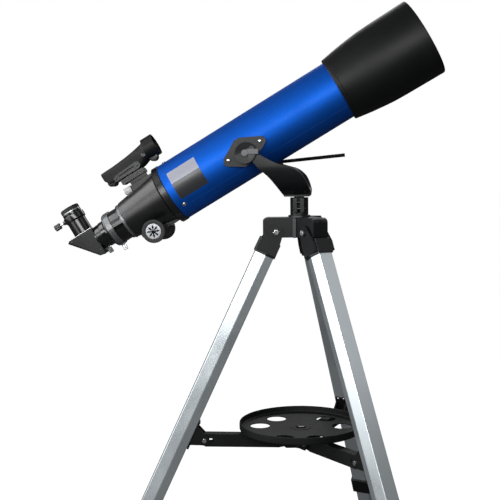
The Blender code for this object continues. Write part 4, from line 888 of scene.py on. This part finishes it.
FLOOR = 40.0
FLOOR_Z = -0.001
FLOOR_GLOW = 0.985  # how bright the floor looks in itself
SKY_LIGHT = 0.17  # how much light the white background casts
LIT_ABOVE_DATUM = 0.05
# Each light: where from, its width and height, and its power
LIGHTS = {"key": ((-0.35, -2.00, 0.48), (2.6, 0.62), 42.0), "left": ((-1.60, -0.75, 0.00), (1.9, 1.1), 13.0),
          "left_high": ((-1.60, -0.30, 0.65), (1.2, 1.0), 17.0), "right": ((1.4, -0.3, 1.0), (1.4, 1.4), 3.0),
          "rim": ((0.3, 1.8, 1.2), (1.6, 0.8), 12.0)}
CAMERA_AWAY = Vector((0.09704, -1.71753, 0.09700))  # from the datum
YAW, PITCH, ROLL = math.radians(-6.25), math.radians(4.77), math.radians(-0.68)
LENS_MM, SENSOR_MM = 68.0, 36.0


def area(name, target, away, size, power):
    light = bpy.data.lights.new(name, "AREA")
    light.shape, light.size, light.size_y, light.energy = "RECTANGLE", size[0], size[1], power
    lamp = bpy.data.objects.new(name, light)
    bpy.context.scene.collection.objects.link(lamp)
    lamp.location = target + away
    lamp.rotation_mode = "QUATERNION"
    lamp.rotation_quaternion = (-away).to_track_quat("-Z", "Y")


def seen_white(holder, cast, seen):
    """The strength of light that a background casts, against how bright it looks in itself."""
    path = holder.node_tree.nodes.new("ShaderNodeLightPath")
    scale = holder.node_tree.nodes.new("ShaderNodeMapRange")
    scale.inputs["To Min"].default_value, scale.inputs["To Max"].default_value = cast, seen
    link(holder, path.outputs["Is Camera Ray"], scale.inputs["Value"])
    return scale.outputs["Result"]


def make_floor():
    floor = bpy.data.objects.new("floor", bpy.data.meshes.new("floor"))
    corners = [(x * FLOOR, y * FLOOR, FLOOR_Z) for x, y in ((-1, -1), (1, -1), (1, 1), (-1, 1))]
    floor.data.from_pydata(corners, [], [(0, 1, 2, 3)])
    pale = surface("pale_floor", (0.10, 0.10, 0.10), 0.8, grain=40.0, bump=0.0, tint=0.01)
    shader = pale.node_tree.nodes["Principled BSDF"]
    shader.inputs["Emission Color"].default_value = (1.0, 1.0, 1.0, 1.0)
    shader.inputs["Specular IOR Level"].default_value = 0.0
    link(pale, seen_white(pale, 0.0, FLOOR_GLOW), shader.inputs["Emission Strength"])
    floor.data.materials.append(pale)
    bpy.context.scene.collection.objects.link(floor)


def make_lights():
    world = bpy.data.worlds.new("studio")
    bpy.context.scene.world = world
    world.use_nodes = True
    sky = world.node_tree.nodes["Background"]
    sky.inputs["Color"].default_value = (1.0, 1.0, 1.0, 1.0)
    link(world, seen_white(world, SKY_LIGHT, 1.0), sky.inputs["Strength"])
    middle = DATUM + Vector((0.0, 0.0, LIT_ABOVE_DATUM))
    for name, (away, size, power) in LIGHTS.items():
        area(name, middle, Vector(away), size, power)


def make_camera():
    scene = bpy.context.scene
    scene.view_settings.view_transform = "Standard"
    camera = bpy.data.objects.new("camera", bpy.data.cameras.new("camera"))
    scene.collection.objects.link(camera)
    scene.camera = camera
    camera.data.lens, camera.data.sensor_width = LENS_MM, SENSOR_MM
    camera.data.clip_start = 0.05
    forward = Vector((math.sin(YAW) * math.cos(PITCH), math.cos(YAW) * math.cos(PITCH), -math.sin(PITCH)))
    right = Vector((math.cos(YAW), -math.sin(YAW), 0.0))
    up = right.cross(forward)
    across = right * math.cos(ROLL) + up * math.sin(ROLL)
    upward = up * math.cos(ROLL) - right * math.sin(ROLL)
    camera.matrix_world = (Matrix.Translation(DATUM + CAMERA_AWAY)
                           @ Matrix((across, upward, -forward)).transposed().to_4x4())


make_floor()
make_lights()
make_camera()
make_tube()
make_label()
make_shield()
make_objective()
make_focuser()
make_drawtube()
make_screws()
make_knobs()
make_diagonal()
make_eyepiece()
make_finder()
make_brackets()
make_yoke()
make_post()
make_head()
make_legs()
make_spreader()

bpy.context.view_layer.update()
